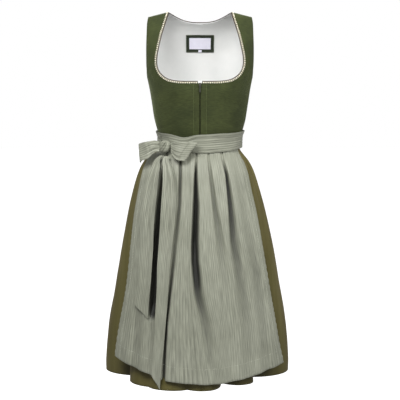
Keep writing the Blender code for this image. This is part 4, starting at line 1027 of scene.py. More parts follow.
# Height, how far the skirt stands in under the apron, and the apron's edges in degrees.
apronRows = (
    (-1.0275, 0.0060, -70.0, 73.0), (-0.9850, 0.0110, -69.0, 72.0), (-0.9000, 0.0240, -68.0, 68.5),
    (-0.7600, 0.0330, -66.5, 66.5), (-0.6500, 0.0330, -68.0, 65.5), (-0.5300, 0.0290, -69.5, 65.5),
    (-0.4500, 0.0180, -71.5, 66.5), (-0.4000, 0.0080, -76.0, 69.5), (-0.3780, 0.0040, -77.0, 70.0),
    (-0.3450, 0.0036, -77.0, 70.0),
)


def ringRadius(row, angle):
    depth = np.where(np.cos(angle) > 0, row[..., 2], row[..., 3])
    across, ahead, power = np.abs(np.sin(angle)) / row[..., 1], np.abs(np.cos(angle)) / depth, row[..., 4]
    return (across**power + ahead**power) ** (-1 / power)


def ringPoint(angle, z, inwards=0.0):
    angle, z = np.broadcast_arrays(np.asarray(angle, float), np.asarray(z, float))
    row = tableAt(ringRows, levelOf(ringRows, z))
    radius = ringRadius(row, angle) - inwards
    return stacked(row[..., 5] + radius * np.sin(angle), -radius * np.cos(angle), z)


def foldIn(angle):
    # How far the hem stands in: broad rounded crests and narrower valleys.
    def slope(start, end):
        return (1 - np.cos(pi / 2 * np.clip((turn - start) / (end - start), 0, 1))) ** skirt["sharp"]

    start = foldRows[0][0]
    turn = (np.degrees(angle) - start) % 360 + start
    total = np.zeros_like(turn)
    again = (foldRows[0][0] + 360,) + foldRows[0][1:]
    for (crest, crestIn, valley, valleyIn), after in zip(foldRows, foldRows[1:] + (again,)):
        down = crestIn + (valleyIn - crestIn) * slope(crest, valley)
        rise = after[1] + (valleyIn - after[1]) * slope(after[0], valley)
        total = np.where((turn >= crest) & (turn <= valley), down, total)
        total = np.where((turn > valley) & (turn <= after[0]), rise, total)
    return total


def underApron(angle, z):
    row = tableAt(apronRows, levelOf(apronRows, z))
    turn = np.degrees(angle)
    return row[..., 1] * ease(turn - row[..., 2], -3, 13) * (1 - ease(turn - row[..., 3], -13, 3))


def skirtPoint(angle, z):
    fold = foldIn(angle) * ease(-z, skirt["foldsFrom"], skirt["foldsFull"])
    # Gathers differ in width and die away down the skirt, the fine ones first.
    gathered = ease(-z, skirt["gathersFrom"], skirt["gathersFull"])
    gathered = gathered * (1 - ease(-z, skirt["gathersFull"], skirt["gathersEnd"]))
    shifted = skirt["gathers"] * angle + 0.55 * np.sin(angle * 5 + 1.0)
    gather = skirt["gatherDepth"] * gathered * (1 - np.cos(shifted)) / 2
    fine = np.sin(angle * skirt["fineGathers"] + 1.4 * np.sin(angle * 9)) * (1 - ease(-z, 0.40, 0.56))
    fine = skirt["fineDepth"] * gathered * fine
    # Crisp taffeta: long diagonal crinkles that grow towards the hem.
    around = angle * 0.2
    crinkle = skirt["crinkle"] * ease(-z, 0.45, 0.85) * (
        wave(around * 1.6, z * 0.45, 31, 0.09) + 0.5 * np.abs(wave(around, z * 0.6 + around, 32, 0.07))
    )
    hem = skirt["hemGroove"] * bell(z - size["hemZ"] - skirt["hemStitchUp"], 0.0016)
    inwards = fold + gather + fine + crinkle * 0.8 + hem + underApron(angle, z) + skirt["clear"]
    return ringPoint(angle, z, inwards)


def skirtPiece(tag):
    start, end = (radians(turn) for turn in skirtSpans[tag])
    angles = np.linspace(start, end, round((end - start) * skirt["columns"] / (2 * pi)) + 1)
    gapTurn = size["seamGap"] / 2 / skirt["waistHalf"]
    angles[0] += gapTurn
    angles[-1] -= gapTurn
    share = np.linspace(0, 1, skirt["rows"] + 1)[::-1, None]
    heights = skirt["topZ"] + (size["hemZ"] - skirt["topZ"]) * (0.35 * share**2 + 0.65 * share)
    grid = skirtPoint(angles[None, :], heights)
    axis = stacked(ringRows[0][5], 0.0, grid[..., 2])
    inwards = unit(axis - grid)
    facing = np.clip(-(inwards * gridNormals(grid)).sum(axis=2), 0.35, 1)
    wall = skirt["wallShare"] * size["skirtWall"] / facing
    deep = ease(np.linalg.norm(grid - ringPoint(angles[None, :], heights), axis=-1), 0.010, 0.080)
    inner = grid + inwards * wall[..., None]
    obj = clothShell("skirt" + tag, grid, inner, skirtCloth, rimRound=0.4, marks=deep)
    wear(obj, "skirt_olive", "skirt_" + tag.lower())


skirtPiece("Front")
skirtPiece("Back")
print("skirt made")


# Apron: pressed pleats at the waist that open into uneven valleys lower down.
# Each line is one valley: height, x in the front view, depth, and its reach to the left and to the right.
valleyLines = {
    "outerRight": (
        (-0.36, -0.117, 0.002, 0.008, 0.008), (-0.44, -0.133, 0.004, 0.010, 0.009),
        (-0.52, -0.1414, 0.005, 0.010, 0.010), (-0.62, -0.152, 0.006, 0.011, 0.011),
        (-0.72, -0.1605, 0.006, 0.013, 0.012), (-0.85, -0.174, 0.006, 0.014, 0.014),
        (-1.01, -0.188, 0.005, 0.016, 0.016),
    ),
    "betweenTails": (
        (-0.36, -0.090, 0.004, 0.004, 0.004), (-0.40, -0.094, 0.010, 0.005, 0.005),
        (-0.44, -0.1000, 0.026, 0.008, 0.006), (-0.52, -0.1085, 0.033, 0.011, 0.010),
        (-0.62, -0.1185, 0.035, 0.012, 0.011), (-0.72, -0.1250, 0.033, 0.011, 0.011),
        (-0.80, -0.1312, 0.031, 0.011, 0.011), (-0.84, -0.1338, 0.006, 0.010, 0.012),
        (-1.01, -0.140, 0.002, 0.012, 0.016),
    ),
    "besideTail": (
        (-0.36, -0.0544, 0.005, 0.003, 0.003), (-0.40, -0.0544, 0.009, 0.004, 0.004),
        (-0.44, -0.0544, 0.011, 0.004, 0.005), (-0.52, -0.0564, 0.011, 0.005, 0.005),
        (-0.62, -0.068, 0.009, 0.006, 0.006), (-0.72, -0.0789, 0.012, 0.005, 0.005),
        (-0.85, -0.0938, 0.013, 0.005, 0.005), (-1.01, -0.102, 0.013, 0.005, 0.005),
    ),
    "panelSoft": (
        (-0.36, -0.0326, 0.001, 0.006, 0.006), (-0.52, -0.0326, 0.003, 0.008, 0.008),
        (-0.62, -0.036, 0.004, 0.010, 0.010), (-0.72, -0.036, 0.004, 0.012, 0.012),
        (-0.85, -0.030, 0.004, 0.014, 0.014), (-1.01, -0.020, 0.003, 0.016, 0.016),
    ),
    "middle": (
        (-0.36, -0.0098, 0.005, 0.003, 0.003), (-0.40, -0.0103, 0.006, 0.003, 0.003),
        (-0.44, -0.012, 0.018, 0.004, 0.005), (-0.52, -0.0114, 0.026, 0.008, 0.009),
        (-0.62, -0.0152, 0.030, 0.009, 0.011), (-0.67, -0.0150, 0.023, 0.010, 0.013),
        (-0.76, -0.0080, 0.012, 0.010, 0.018), (-0.85, 0.0136, 0.008, 0.012, 0.020),
        (-1.01, 0.038, 0.0045, 0.014, 0.022),
    ),
    "leftOfMiddle": (
        (-0.36, 0.0218, 0.004, 0.003, 0.003), (-0.40, 0.0237, 0.005, 0.003, 0.003),
        (-0.44, 0.0286, 0.008, 0.004, 0.005), (-0.52, 0.0394, 0.010, 0.006, 0.008),
        (-0.62, 0.0544, 0.008, 0.010, 0.012), (-0.72, 0.068, 0.005, 0.014, 0.016),
        (-0.85, 0.0816, 0.003, 0.018, 0.018), (-1.01, 0.0898, 0.002, 0.020, 0.020),
    ),
    "deepLeft": (
        (-0.36, 0.0558, 0.004, 0.003, 0.003), (-0.40, 0.0626, 0.006, 0.003, 0.004),
        (-0.44, 0.0726, 0.014, 0.003, 0.006), (-0.52, 0.0816, 0.014, 0.005, 0.012),
        (-0.62, 0.0898, 0.011, 0.008, 0.018), (-0.72, 0.1088, 0.008, 0.012, 0.022),
        (-0.85, 0.1306, 0.006, 0.016, 0.026), (-1.01, 0.1414, 0.004, 0.020, 0.030),
    ),
    "outerLeft": (
        (-0.36, 0.0843, 0.000, 0.010, 0.010), (-0.44, 0.106, 0.002, 0.010, 0.010),
        (-0.52, 0.1224, 0.004, 0.012, 0.012), (-0.62, 0.1414, 0.006, 0.012, 0.012),
        (-0.72, 0.1605, 0.007, 0.014, 0.014), (-0.85, 0.1768, 0.006, 0.016, 0.016),
        (-1.01, 0.1904, 0.005, 0.018, 0.018),
    ),
}
apron = {
    "proud": 0.0026, "topZ": -0.3560, "hemZ": -1.0050, "riseRight": 0.049, "riseLeft": 0.027,
    "risePower": 1.6, "columns": 380, "rows": 116, "hemStitchUp": 0.0415, "hemGroove": 0.0007, "steep": 3.6,
    "soft": 0.0010, "sideRipple": 0.0008, "ripplePitch": 0.017, "pucker": 0.0003, "puckers": 75,
    "wallShare": 0.7, "stitchLift": 0.0003,
}


def acrossApron(z, steps=200):
    # For one height: shares of the way from side edge to side edge, the x at each, and the length across.
    edges = tableAt(apronRows, levelOf(apronRows, z))[2:4]
    share = np.linspace(0, 1, steps)
    angle = np.radians(edges[0] + (edges[1] - edges[0]) * share)
    ring = ringPoint(angle, z, -apron["proud"])
    width = np.linalg.norm(np.diff(ring, axis=0), axis=1).sum()
    return edges, share, ring[:, 0], width


def valleyShares(z):
    # For one height: the apron's side edges in degrees, and each valley's share across, depth and reaches.
    edges, share, across, width = acrossApron(z)
    found = []
    for line in valleyLines.values():
        rows = np.array(line)[::-1].T
        x, depth, left, right = (np.interp(z, rows[0], column) for column in rows[1:])
        found.append((np.interp(x, across, share), depth, left / width, right / width))
    return edges, found


restingShares = [valley[0] for valley in valleyShares(-0.62)[1]]


def apronCell(place, z):
    # Angle and depth at these places across the cloth, at one height each.
    place, z = np.broadcast_arrays(place, z)
    rows = np.linspace(-1.03, apron["topZ"] + 0.002, 90)
    table = [valleyShares(row) for row in rows]
    controls = np.array([[0.0] + [valley[0] for valley in found] + [1.0] for _, found in table])
    sizes = np.array([[valley[1:] for valley in found] for _, found in table])
    at = np.interp(z, rows, np.arange(len(rows)))
    edge = tableAt([edges for edges, _ in table], at)
    control = tableAt(controls, at)
    knots = np.array([0.0] + restingShares + [1.0])
    k = np.clip(np.searchsorted(knots, place, side="right") - 1, 0, len(knots) - 2)
    part = (place - knots[k]) / (knots[k + 1] - knots[k])
    low = np.take_along_axis(control, k[..., None], axis=-1)[..., 0]
    high = np.take_along_axis(control, k[..., None] + 1, axis=-1)[..., 0]
    share = low + (high - low) * part
    flatSizes = tableAt(sizes.reshape(len(rows), -1), at).reshape(place.shape + (len(valleyLines), 3))
    depth = np.zeros(place.shape)
    for j in range(len(valleyLines)):
        off = share - control[..., j + 1]
        reach = np.where(off < 0, flatSizes[..., j, 1], flatSizes[..., j, 2])
        depth = depth + flatSizes[..., j, 0] * np.exp(-(np.abs(off / reach) ** apron["steep"]))
    angle = np.radians(edge[..., 0] + (edge[..., 1] - edge[..., 0]) * share)
    return angle, depth


def apronPoint(place, rowZ, out=0.0):
    place, rowZ = np.broadcast_arrays(np.asarray(place, float), np.asarray(rowZ, float))
    share = (rowZ - apron["topZ"]) / (apron["hemZ"] - apron["topZ"])
    rise = np.where(place < 0.5, apron["riseRight"], apron["riseLeft"])
    z = rowZ + share * rise * np.abs(2 * place - 1) ** apron["risePower"]
    angle, depth = apronCell(place, z)
    soft = apron["soft"] * ease(-z, 0.42, 0.6) * wave(place * 0.6, z * 0.35, 21, 0.12)
    sideRipple = np.sin(z * 2 * pi / apron["ripplePitch"] + 2 * np.sin(z * 31)) * ease(-z, 0.5, 0.7)
    sideRipple = apron["sideRipple"] * ease(np.abs(2 * place - 1), 0.955, 1.0) * sideRipple
    hem = apron["hemGroove"] * bell(rowZ - apron["hemZ"] - apron["hemStitchUp"], 0.0015)
    atHem = ease(-rowZ, -apron["hemZ"] - 0.05, -apron["hemZ"] - 0.03)
    pucker = np.sin(place * 2 * pi * apron["puckers"]) * atHem
    inwards = soft + sideRipple + hem + apron["pucker"] * pucker - apron["proud"] - out
    # A valley is pressed nearly straight back, a little towards the middle of the dress.
    back = unit(stacked(-0.25 * np.sin(angle), 0.75 + 0.25 * np.cos(angle), 0 * angle))
    return ringPoint(angle, z, inwards) + back * depth[..., None], depth


def apronPlaces():
    # Closer columns in the valleys, so their edges stay crisp.
    dense = np.linspace(0, 1, 4001)
    weight = np.ones_like(dense)
    for centre in restingShares:
        weight += 3.0 * bell(dense - centre, 0.022)
    total = np.cumsum(weight)
    total = (total - total[0]) / (total[-1] - total[0])
    return np.interp(np.linspace(0, 1, apron["columns"]), total, dense)


places = apronPlaces()
rowsZ = np.linspace(apron["hemZ"], apron["topZ"], apron["rows"])
grid, depths = apronPoint(places[None, :], rowsZ[:, None])
apronNormals = gridNormals(grid)
across = lengthAlong(grid, 1)[apron["rows"] // 2]
obj = clothShell(
    "apronCloth", grid, grid - apronNormals * size["apronWall"] * apron["wallShare"], apronCloth,
    uv=stacked(across[None, :], rowsZ[:, None]), rimRound=0.4, marks=ease(depths, 0.003, 0.015),
)
wear(obj, "apron_sage", "apron")
hemLine, _ = apronPoint(places, apron["hemZ"] + apron["hemStitchUp"], apron["stitchLift"])
hemUp = apronNormals[int(apron["rows"] * apron["hemStitchUp"] / (apron["topZ"] - apron["hemZ"]))]
sewStitches("apronHemStitches", "apronHem", [hemLine[3:-3]], [hemUp[3:-3]], sageThread, "apron_sage")
print("apron made")


# Waistband and tie.
band = {
    "from": -96.0, "to": 96.0, "clear": 0.0006, "inset": 0.0002, "tieClear": 0.0011, "knotAt": -60.0,
    "tieStop": 9.0, "columns": 260, "rows": 28, "dip": 0.0085, "sag": 0.0035, "flatWide": 0.048,
    "wallShare": 0.8, "rimRound": 0.45,
}


def ringAround(angle, z, out):
    row = tableAt(torsoRows, levelOf(torsoRows, z))
    radius = ringRadius(row, angle) + out
    return stacked(radius * np.sin(angle), -radius * np.cos(angle), z)


def bandPiece(name, start, end, low, high, out, relief):
    # A strip round the waist. low, high and relief are functions of the share of its length.
    share = np.linspace(0, 1, band["columns"])[None, :]
    up = np.linspace(0, 1, band["rows"])[:, None]
    angle = np.radians(start + (end - start) * share)
    z = low(share) + (high(share) - low(share)) * up
    grid = ringAround(angle, z, out + relief(share, up))
    inner = grid - gridNormals(grid) * size["tieWall"] * band["wallShare"]
    run = lengthAlong(grid, 1)[band["rows"] // 2]
    uv = stacked(run[None, :], up * band["flatWide"])
    return clothShell(name, grid, inner, bandCloth, uv=uv, rimRound=band["rimRound"])


def edgeDrop(share, start, end):
    # The knot's pull draws the upper edge down beside the bow and lets the lower edge sag in the middle.
    turn = start + (end - start) * share
    turn = np.where(turn > 180, turn - 360, turn)
    high = band["dip"] * bell(turn + 27, 15) - 0.0018 * ease(turn, 0, 40) * (1 - ease(turn, 80, 120))
    low = band["sag"] * bell(turn - 2, 30) - 0.0035 * ease(turn, 45, 75) * (1 - ease(turn, 90, 130))
    return low, high


def nearKnot(share):
    return np.maximum(ease(0.16 - share, 0.0, 0.16), ease(share - 0.93, 0.0, 0.07))


def tieRelief(share, up):
    # Lengthwise folds that the knot's pull presses into the tie. The last two spread from the knot.
    along = share * 0.66
    # Depth, middle line, width and fade of each fold.
    folds = (
        (0.0010, 0.62 - 0.10 * np.sin(along * 9), 0.035, ease(share, 0.02, 0.1)),
        (0.0008, 0.34 + 0.07 * np.sin(along * 7 + 1), 0.03, ease(share, 0.0, 0.06)),
        (0.0010, 0.80 - 0.12 * share, 0.028, 1),
        (0.0007, 0.18 - 0.05 * np.sin(along * 12), 0.03, 1),
        (0.0014, 0.50 + 0.30 * ease(share, 0.0, 0.14), 0.030, 1 - ease(share, 0.10, 0.2)),
        (0.0014, 0.46 - 0.22 * ease(share, 0.0, 0.12), 0.030, 1 - ease(share, 0.09, 0.18)),
    )
    pressed = sum(depth * bell(up - line, width) * fade for depth, line, width, fade in folds)
    swell = 0.0011 * np.sin(up * pi) ** 0.5
    return swell - pressed * (1 + 0.8 * nearKnot(share)) + 0.0005 * wave(along, up * 0.05, 41, 0.06)


def noRelief(share, up):
    return 0 * share * up


def bandLow(share):
    return size["bandBottomZ"] + 0.0020 - edgeDrop(share, band["from"], band["to"])[0] * 0.6


def bandHigh(share):
    return size["bandTopZ"] - 0.0005 - edgeDrop(share, band["from"], band["to"])[1]


def tieLow(share):
    return size["bandBottomZ"] + 0.006 * nearKnot(share) - edgeDrop(share, tieStart, tieEnd)[0]


def tieHigh(share):
    return size["bandTopZ"] - 0.007 * nearKnot(share) - edgeDrop(share, tieStart, tieEnd)[1]


bandOut = apron["proud"] + band["clear"] + size["tieWall"]
obj = bandPiece("apronBand", band["from"], band["to"], bandLow, bandHigh, bandOut - band["inset"], noRelief)
wear(obj, "apron_sage", "apron_band")
tieOut = bandOut + band["tieClear"] + size["tieWall"]
tieStart, tieEnd = band["knotAt"] + band["tieStop"], band["knotAt"] + 360 - band["tieStop"]
obj = bandPiece("apronTie", tieStart, tieEnd, tieLow, tieHigh, tieOut, tieRelief)
wear(obj, "apron_sage", "apron_tie")
print("band and tie made")


# Bow: two loops, a knot and two tails of different length.
# Rows of a loop: middle line x, y, z, half width, and how much of the lean a step takes.
# Each groove: where it starts across the loop, where it fans to, how far it runs and how deep it is.
# The bend: where it crosses the loop, its width and its depth.
loops = {
    "Right": {
        "rows": (
            (-0.1105, -0.0800, -0.3640, 0.0130, 0.0), (-0.1280, -0.0865, -0.3650, 0.0175, 0.2),
            (-0.1480, -0.0850, -0.3740, 0.0235, 0.7), (-0.1640, -0.0740, -0.3820, 0.0250, 1.0),
            (-0.1670, -0.0640, -0.3840, 0.0252, 1.0), (-0.1620, -0.0560, -0.3830, 0.0245, 1.0),
            (-0.1460, -0.0540, -0.3760, 0.0215, 0.7), (-0.1300, -0.0580, -0.3690, 0.0170, 0.2),
            (-0.1195, -0.0665, -0.3650, 0.0125, 0.0),
        ),
        "grooves": ((0.25, 0.45, 0.30, 0.0016), (-0.45, -0.30, 0.36, 0.0026)), "bend": (0.20, 0.020, 0.0014),
        "lean": -0.0010, "turned": True, "soft": 0.0014, "edge": 0.0022, "seed": 51,
    },
    "Left": {
        "rows": (
            (-0.0800, -0.0960, -0.3650, 0.0140, 0.0), (-0.0680, -0.1110, -0.3690, 0.0205, 0.2),
            (-0.0480, -0.1220, -0.3730, 0.0245, 0.6), (-0.0300, -0.1250, -0.3735, 0.0250, 0.9),
            (-0.0220, -0.1220, -0.3735, 0.0250, 1.0), (-0.0270, -0.1150, -0.3730, 0.0245, 0.9),
            (-0.0460, -0.1080, -0.3710, 0.0225, 0.6), (-0.0640, -0.1000, -0.3680, 0.0180, 0.2),
            (-0.0760, -0.0900, -0.3660, 0.0130, 0.0),
        ),
        "grooves": ((0.55, 0.75, 0.22, 0.0016), (-0.30, -0.20, 0.30, 0.0024), (-0.72, -0.85, 0.34, 0.0024)),
        "bend": (0.27, 0.016, 0.0024),
        "lean": 0.0190, "turned": False, "soft": 0.0012, "edge": 0.0010, "seed": 52,
    },
}
bow = {"columns": 120, "rows": 32, "loopLong": 0.14, "wallShare": 0.75, "rimRound": 0.45}


def stripPiece(name, grid, uv):
    inner = grid - gridNormals(grid) * size["tieWall"] * bow["wallShare"]
    return clothShell(name, grid, inner, bandCloth, uv=uv, rimRound=bow["rimRound"])


def loopPiece(side, look):
    steps = tableAt(look["rows"], np.linspace(0, len(look["rows"]) - 1, bow["columns"]))
    up = np.linspace(-1, 1, bow["rows"])[:, None]
    middle, half, share = steps[None, :, :3], steps[None, :, 3], steps[None, :, 4]
    grid = middle + stacked(look["lean"] * share * up, 0 * up, half * up)
    run = np.linspace(0, 1, bow["columns"])[None, :]
    if look["turned"]:
        grid, run = grid[:, ::-1], run[:, ::-1]
    fromKnot = np.minimum(run, 1 - run)
    # Pressed grooves fan out of the knot and die away towards the loop's end.
    fan = 0 * (run + up)
    for start, fanned, reach, deep in look["grooves"]:
        line = start + (fanned - start) * fromKnot / 0.45
        fan = fan - deep * bell(up - line, 0.085) * (1 - ease(fromKnot, reach * 0.5, reach))
    at, wide, deep = look["bend"]
    fan = fan - deep * bell(run - at - 0.03 * up, wide)
    fan = fan + look["soft"] * wave(run * bow["loopLong"], up * 0.025, look["seed"], 0.030)
    edgeWave = np.sin(run * 2 * pi * 3.1 + look["seed"]) * np.abs(up) ** 3 * np.where(up < 0, 1, 0.4)
    grid = grid + gridNormals(grid) * (fan * ease(fromKnot, 0, 0.03))[..., None]
    grid = grid + stacked(0.0, 0.0, look["edge"] * edgeWave * ease(fromKnot, 0, 0.1))
    obj = stripPiece("bowLoop" + side, grid, stacked(run * bow["loopLong"], half * up))
    wear(obj, "apron_sage", "bow_loop_" + side.lower())


for side, look in loops.items():
    loopPiece(side, look)

knot = {
    "middle": (-0.0975, -0.0800, -0.3645), "facing": (-0.62, -0.78, 0.0), "half": (0.0178, 0.0118, 0.0165),
    "slant": 0.16, "rings": 48, "sides": 96,
    # Each groove: where it crosses the middle, how it slants, its width and depth.
    "grooves": (
        (0.95, -0.55, 0.15, 0.30), (1.48, -0.75, 0.13, 0.42), (2.02, -0.60, 0.14, 0.40),
        (2.50, -0.35, 0.13, 0.34), (3.00, 0.10, 0.14, 0.25), (4.4, 0.2, 0.2, 0.15), (5.4, 0.1, 0.2, 0.15),
    ),
}


def knotPiece():
    # A squeezed pillow of cloth wound round once: deep slanting folds run over it.
    lift = (np.linspace(0, 1, knot["rings"] + 2)[1:-1] * pi - pi / 2)[:, None]
    turn = np.linspace(0, 2 * pi, knot["sides"] + 1)[None, :-1]
    facing = unit(np.array(knot["facing"]))
    across = np.array((-facing[1], facing[0], 0.0))
    halfWide, halfDeep, halfHigh = knot["half"]
    height = signedPower(np.sin(lift), 0.8) * halfHigh
    folds = 0.97 + 0.0 * turn
    for at, slant, wide, deep in knot["grooves"]:
        folds = folds - deep * bell(turn - at - slant * lift, wide) * np.cos(lift) ** 0.4
    folds = folds + 0.05 * wave(turn * 0.02, lift * 0.01, 57, 0.02)
    rounded = signedPower(np.cos(lift), 0.65)
    sideways = rounded * signedPower(np.cos(turn), 0.8) * halfWide * folds + knot["slant"] * height
    ahead = rounded * signedPower(np.sin(turn), 0.8) * halfDeep * folds
    points = np.array(knot["middle"]) + across * sideways[..., None] + facing * ahead[..., None]
    points = points + stacked(0, 0, height)
    uv = stacked(turn * 0.012, lift * halfHigh)
    obj = makeObject("bowKnot", points, ringFaces(knot["rings"], knot["sides"]), bandCloth, uv)
    built = bmesh.new()
    built.from_mesh(obj.data)
    bmesh.ops.recalc_face_normals(built, faces=built.faces)
    built.to_mesh(obj.data)
    built.free()
    wear(obj, "apron_sage", "bow_knot")


knotPiece()

# Each row of a tail: heights of its two side edges, their places round the skirt in degrees, and how far off
# the skirt's rings it hangs.
tails = {
    "Right": (
        (-0.3890, -0.3890, -50.5, -46.5, 0.0200), (-0.4200, -0.4200, -54.5, -43.5, 0.0120),
        (-0.4700, -0.4700, -58.0, -43.5, 0.0060), (-0.5600, -0.5600, -58.5, -43.5, 0.0048),
        (-0.6500, -0.6500, -56.0, -42.8, 0.0044), (-0.7400, -0.7400, -54.5, -42.5, 0.0042),
        (-0.8000, -0.8330, -54.5, -42.0, 0.0042),
    ),
    "Left": (
        (-0.3890, -0.3890, -43.0, -37.0, 0.0200), (-0.4200, -0.4200, -40.0, -28.0, 0.0120),
        (-0.4700, -0.4700, -38.0, -22.5, 0.0060), (-0.5600, -0.5600, -37.5, -22.5, 0.0048),
        (-0.6800, -0.6800, -37.5, -26.0, 0.0044), (-0.8000, -0.8000, -36.0, -26.5, 0.0042),
        (-0.9100, -0.9100, -35.2, -27.2, 0.0042), (-0.9860, -1.0230, -34.8, -28.2, 0.0044),
    ),
}
tail = {"rows": 150, "columns": 30, "ripple": 0.0008, "knotFolds": 0.0022, "foldLine": 0.0013, "soft": 0.0007}


def tailPiece(side, seed):
    rows = tails[side]
    steps = np.linspace(len(rows) - 1, 0, tail["rows"])
    startZ, endZ, start, end, off = tableAt(rows, steps).T[..., None]
    share = np.linspace(0, 1, tail["columns"])[None, :]
    z = np.maximum(startZ + (endZ - startZ) * share, size["hemZ"])
    angle = np.radians(start + (end - start) * share)
    near = 1 - ease(-z, 0.40, 0.60)
    # Folds run down from the knot, then the strip hangs nearly flat with a fold line along it.
    ripple = tail["ripple"] * np.sin(2 * pi * (share + 0.15))
    ripple = ripple + tail["knotFolds"] * near * np.sin(2 * pi * (share * 2.0 + 0.1) + z * 12)
    ripple = ripple - tail["foldLine"] * bell(share - 0.62 + 0.2 * near, 0.07) * (1 - ease(-z, 0.55, 0.85))
    ripple = ripple + tail["soft"] * wave(share * 0.05, z, seed, 0.10)
    grid = ringPoint(angle, z, -apron["proud"] - off - ripple)
    obj = stripPiece("bowTail" + side, grid, stacked(z, (share - 0.5) * 0.05))
    wear(obj, "apron_sage", "bow_tail_" + side.lower())


tailPiece("Right", 61)
tailPiece("Left", 62)
print("bow made")


# Label on the back lining: a satin patch with a dark edge, its bare white field, and a small size tab.
label = {
    "half": 0.0400, "topZ": -0.0622, "bottomZ": -0.1130, "border": 0.0092, "wall": 0.0006,
    "patchLift": 0.0020, "faceLift": 0.0029, "tabHalf": 0.0045, "tabTopZ": -0.1064, "stitchIn": 0.0012,
    "stitchLift": 0.0001,
}


def insideBack(x, z, lift):
    # A place on the inner side of the back lining, this far off it. The second result points into the dress.
    point, normal = onBody(x, z, True, liningDepth + size["liningWall"] + lift)
    return point, -normal


def labelPiece(name, half, top, bottom, lift, material, node, slotName, curl=0.0):
    x, z = np.linspace(half, -half, 41)[None, :], np.linspace(bottom, top, 25)[:, None]
    ripple = 0.00012 * np.sin(x * 420) * np.sin(z * 310)
    corner = curl * (np.abs(x) / half) ** 6 * (np.abs(z - (top + bottom) / 2) * 2 / (top - bottom)) ** 6
    back, _ = insideBack(x, z, lift)
    face, _ = insideBack(x, z, lift + label["wall"])
    shift = (ripple + corner)[..., None] * unit(face - back)
    wear(clothShell(name, back + shift, face + shift, material, rimRound=0.4), slotName, node)


inset, top, bottom = label["border"], label["topZ"], label["bottomZ"]
labelPiece(
    "labelPatch", label["half"], top, bottom, label["patchLift"], labelEdgeCloth, "label_patch",
    "label_border", 0.0003,
)
labelPiece(
    "labelField", label["half"] - inset, top - inset, bottom + inset, label["faceLift"], labelWhiteCloth,
    "label_face", "label_white",
)
labelPiece(
    "sizeTab", label["tabHalf"], label["tabTopZ"], bottom, label["faceLift"], labelWhiteCloth, "size_tab",
    "label_white", 0.0002,
)
half, top, bottom = label["half"] - label["stitchIn"], top - label["stitchIn"], bottom + label["stitchIn"]
corners = ((-half, bottom), (half, bottom), (half, top), (-half, top), (-half, bottom))
sides = []
for (startX, startZ), (endX, endZ) in zip(corners, corners[1:]):
    share = np.linspace(0, 1, 20)
    lift = label["patchLift"] + label["wall"] + label["stitchLift"]
    sides.append(insideBack(startX + (endX - startX) * share, startZ + (endZ - startZ) * share, lift))
sewStitches("labelStitches", "label", *zip(*sides), greenThread, "label_border")
print("label made")

# Zip slider and its pull tab, die cast and lacquered.
puller = {
    "axisY": -0.12187, "axisZ": -0.1945, "half": 0.0021, "thick": 0.0009, "length": 0.0185, "eyeHalf": 0.0013,
    "eyeLong": 0.0036, "round": 0.0013, "eyeRound": 0.0005, "rim": 0.0002,
}
slider = {
    "half": 0.0035, "topZ": -0.1900, "long": 0.0085, "plateY": -0.1212, "plateThick": 0.0011,
    "backY": -0.1188, "bridgeY": -0.1236, "bridgeHalf": 0.0010, "bridgeUp": 0.0024, "bar": 0.0008,
    "round": 0.0012, "rim": 0.00025,
}


def platePiece(name, outlines, low, high, rim, axes):
    # A flat plate with rounded rims from closed outlines, holes included. axes says where its x, y and
    # thickness go.
    flat = bpy.data.curves.new(name, "CURVE")
    flat.dimensions = "2D"
    flat.fill_mode = "BOTH"
    flat.extrude = (high - low) / 2 - rim
    flat.bevel_depth = rim
    flat.bevel_resolution = 2
    flat.offset = -rim
    for outline in outlines:
        run = flat.splines.new("POLY")
        run.points.add(len(outline) - 1)
        for point, (x, y) in zip(run.points, outline):
            point.co = (x, y, 0, 1)
        run.use_cyclic_u = True
    holder = addObject(name, flat)
    mesh = plainMesh(holder)
    bpy.data.objects.remove(holder, do_unlink=True)
    points = np.zeros(len(mesh.vertices) * 3)
    mesh.vertices.foreach_get("co", points)
    points = points.reshape(-1, 3) + (0, 0, (low + high) / 2)
    turned = np.zeros_like(points)
    turned[:, axes] = points
    mesh.vertices.foreach_set("co", turned.ravel())
    mesh.materials.clear()
    mesh.materials.append(zipMetal)
    built = bmesh.new()
    built.from_mesh(mesh)
    bmesh.ops.remove_doubles(built, verts=built.verts, dist=1e-6)
    bmesh.ops.recalc_face_normals(built, faces=built.faces)
    built.to_mesh(mesh)
    built.free()
    mesh.shade_smooth()
    mesh.set_sharp_from_angle(angle=radians(35))
    mesh.name = name
    return addObject(name, mesh)


def roundedOutline(corners, radius, steps=5):
    # Rounds each corner of a closed outline.
    corners = np.array(corners, float)
    made = []
    for before, here, after in zip(np.roll(corners, 1, axis=0), corners, np.roll(corners, -1, axis=0)):
        cut = min(radius, np.linalg.norm(before - here) * 0.48, np.linalg.norm(after - here) * 0.48)
        start, end = here + unit(before - here) * cut, here + unit(after - here) * cut
        for t in np.linspace(0, 1, steps):
            made.append((1 - t) ** 2 * start + 2 * t * (1 - t) * here + t * t * end)
    return made


def evenOutline(half, radius):
    # A rounded outline that is the same on both sides, from its +X half, upwards.
    mirrored = [(-x, z) for x, z in half]
    return roundedOutline(mirrored[:1] + half + mirrored[:0:-1], radius)


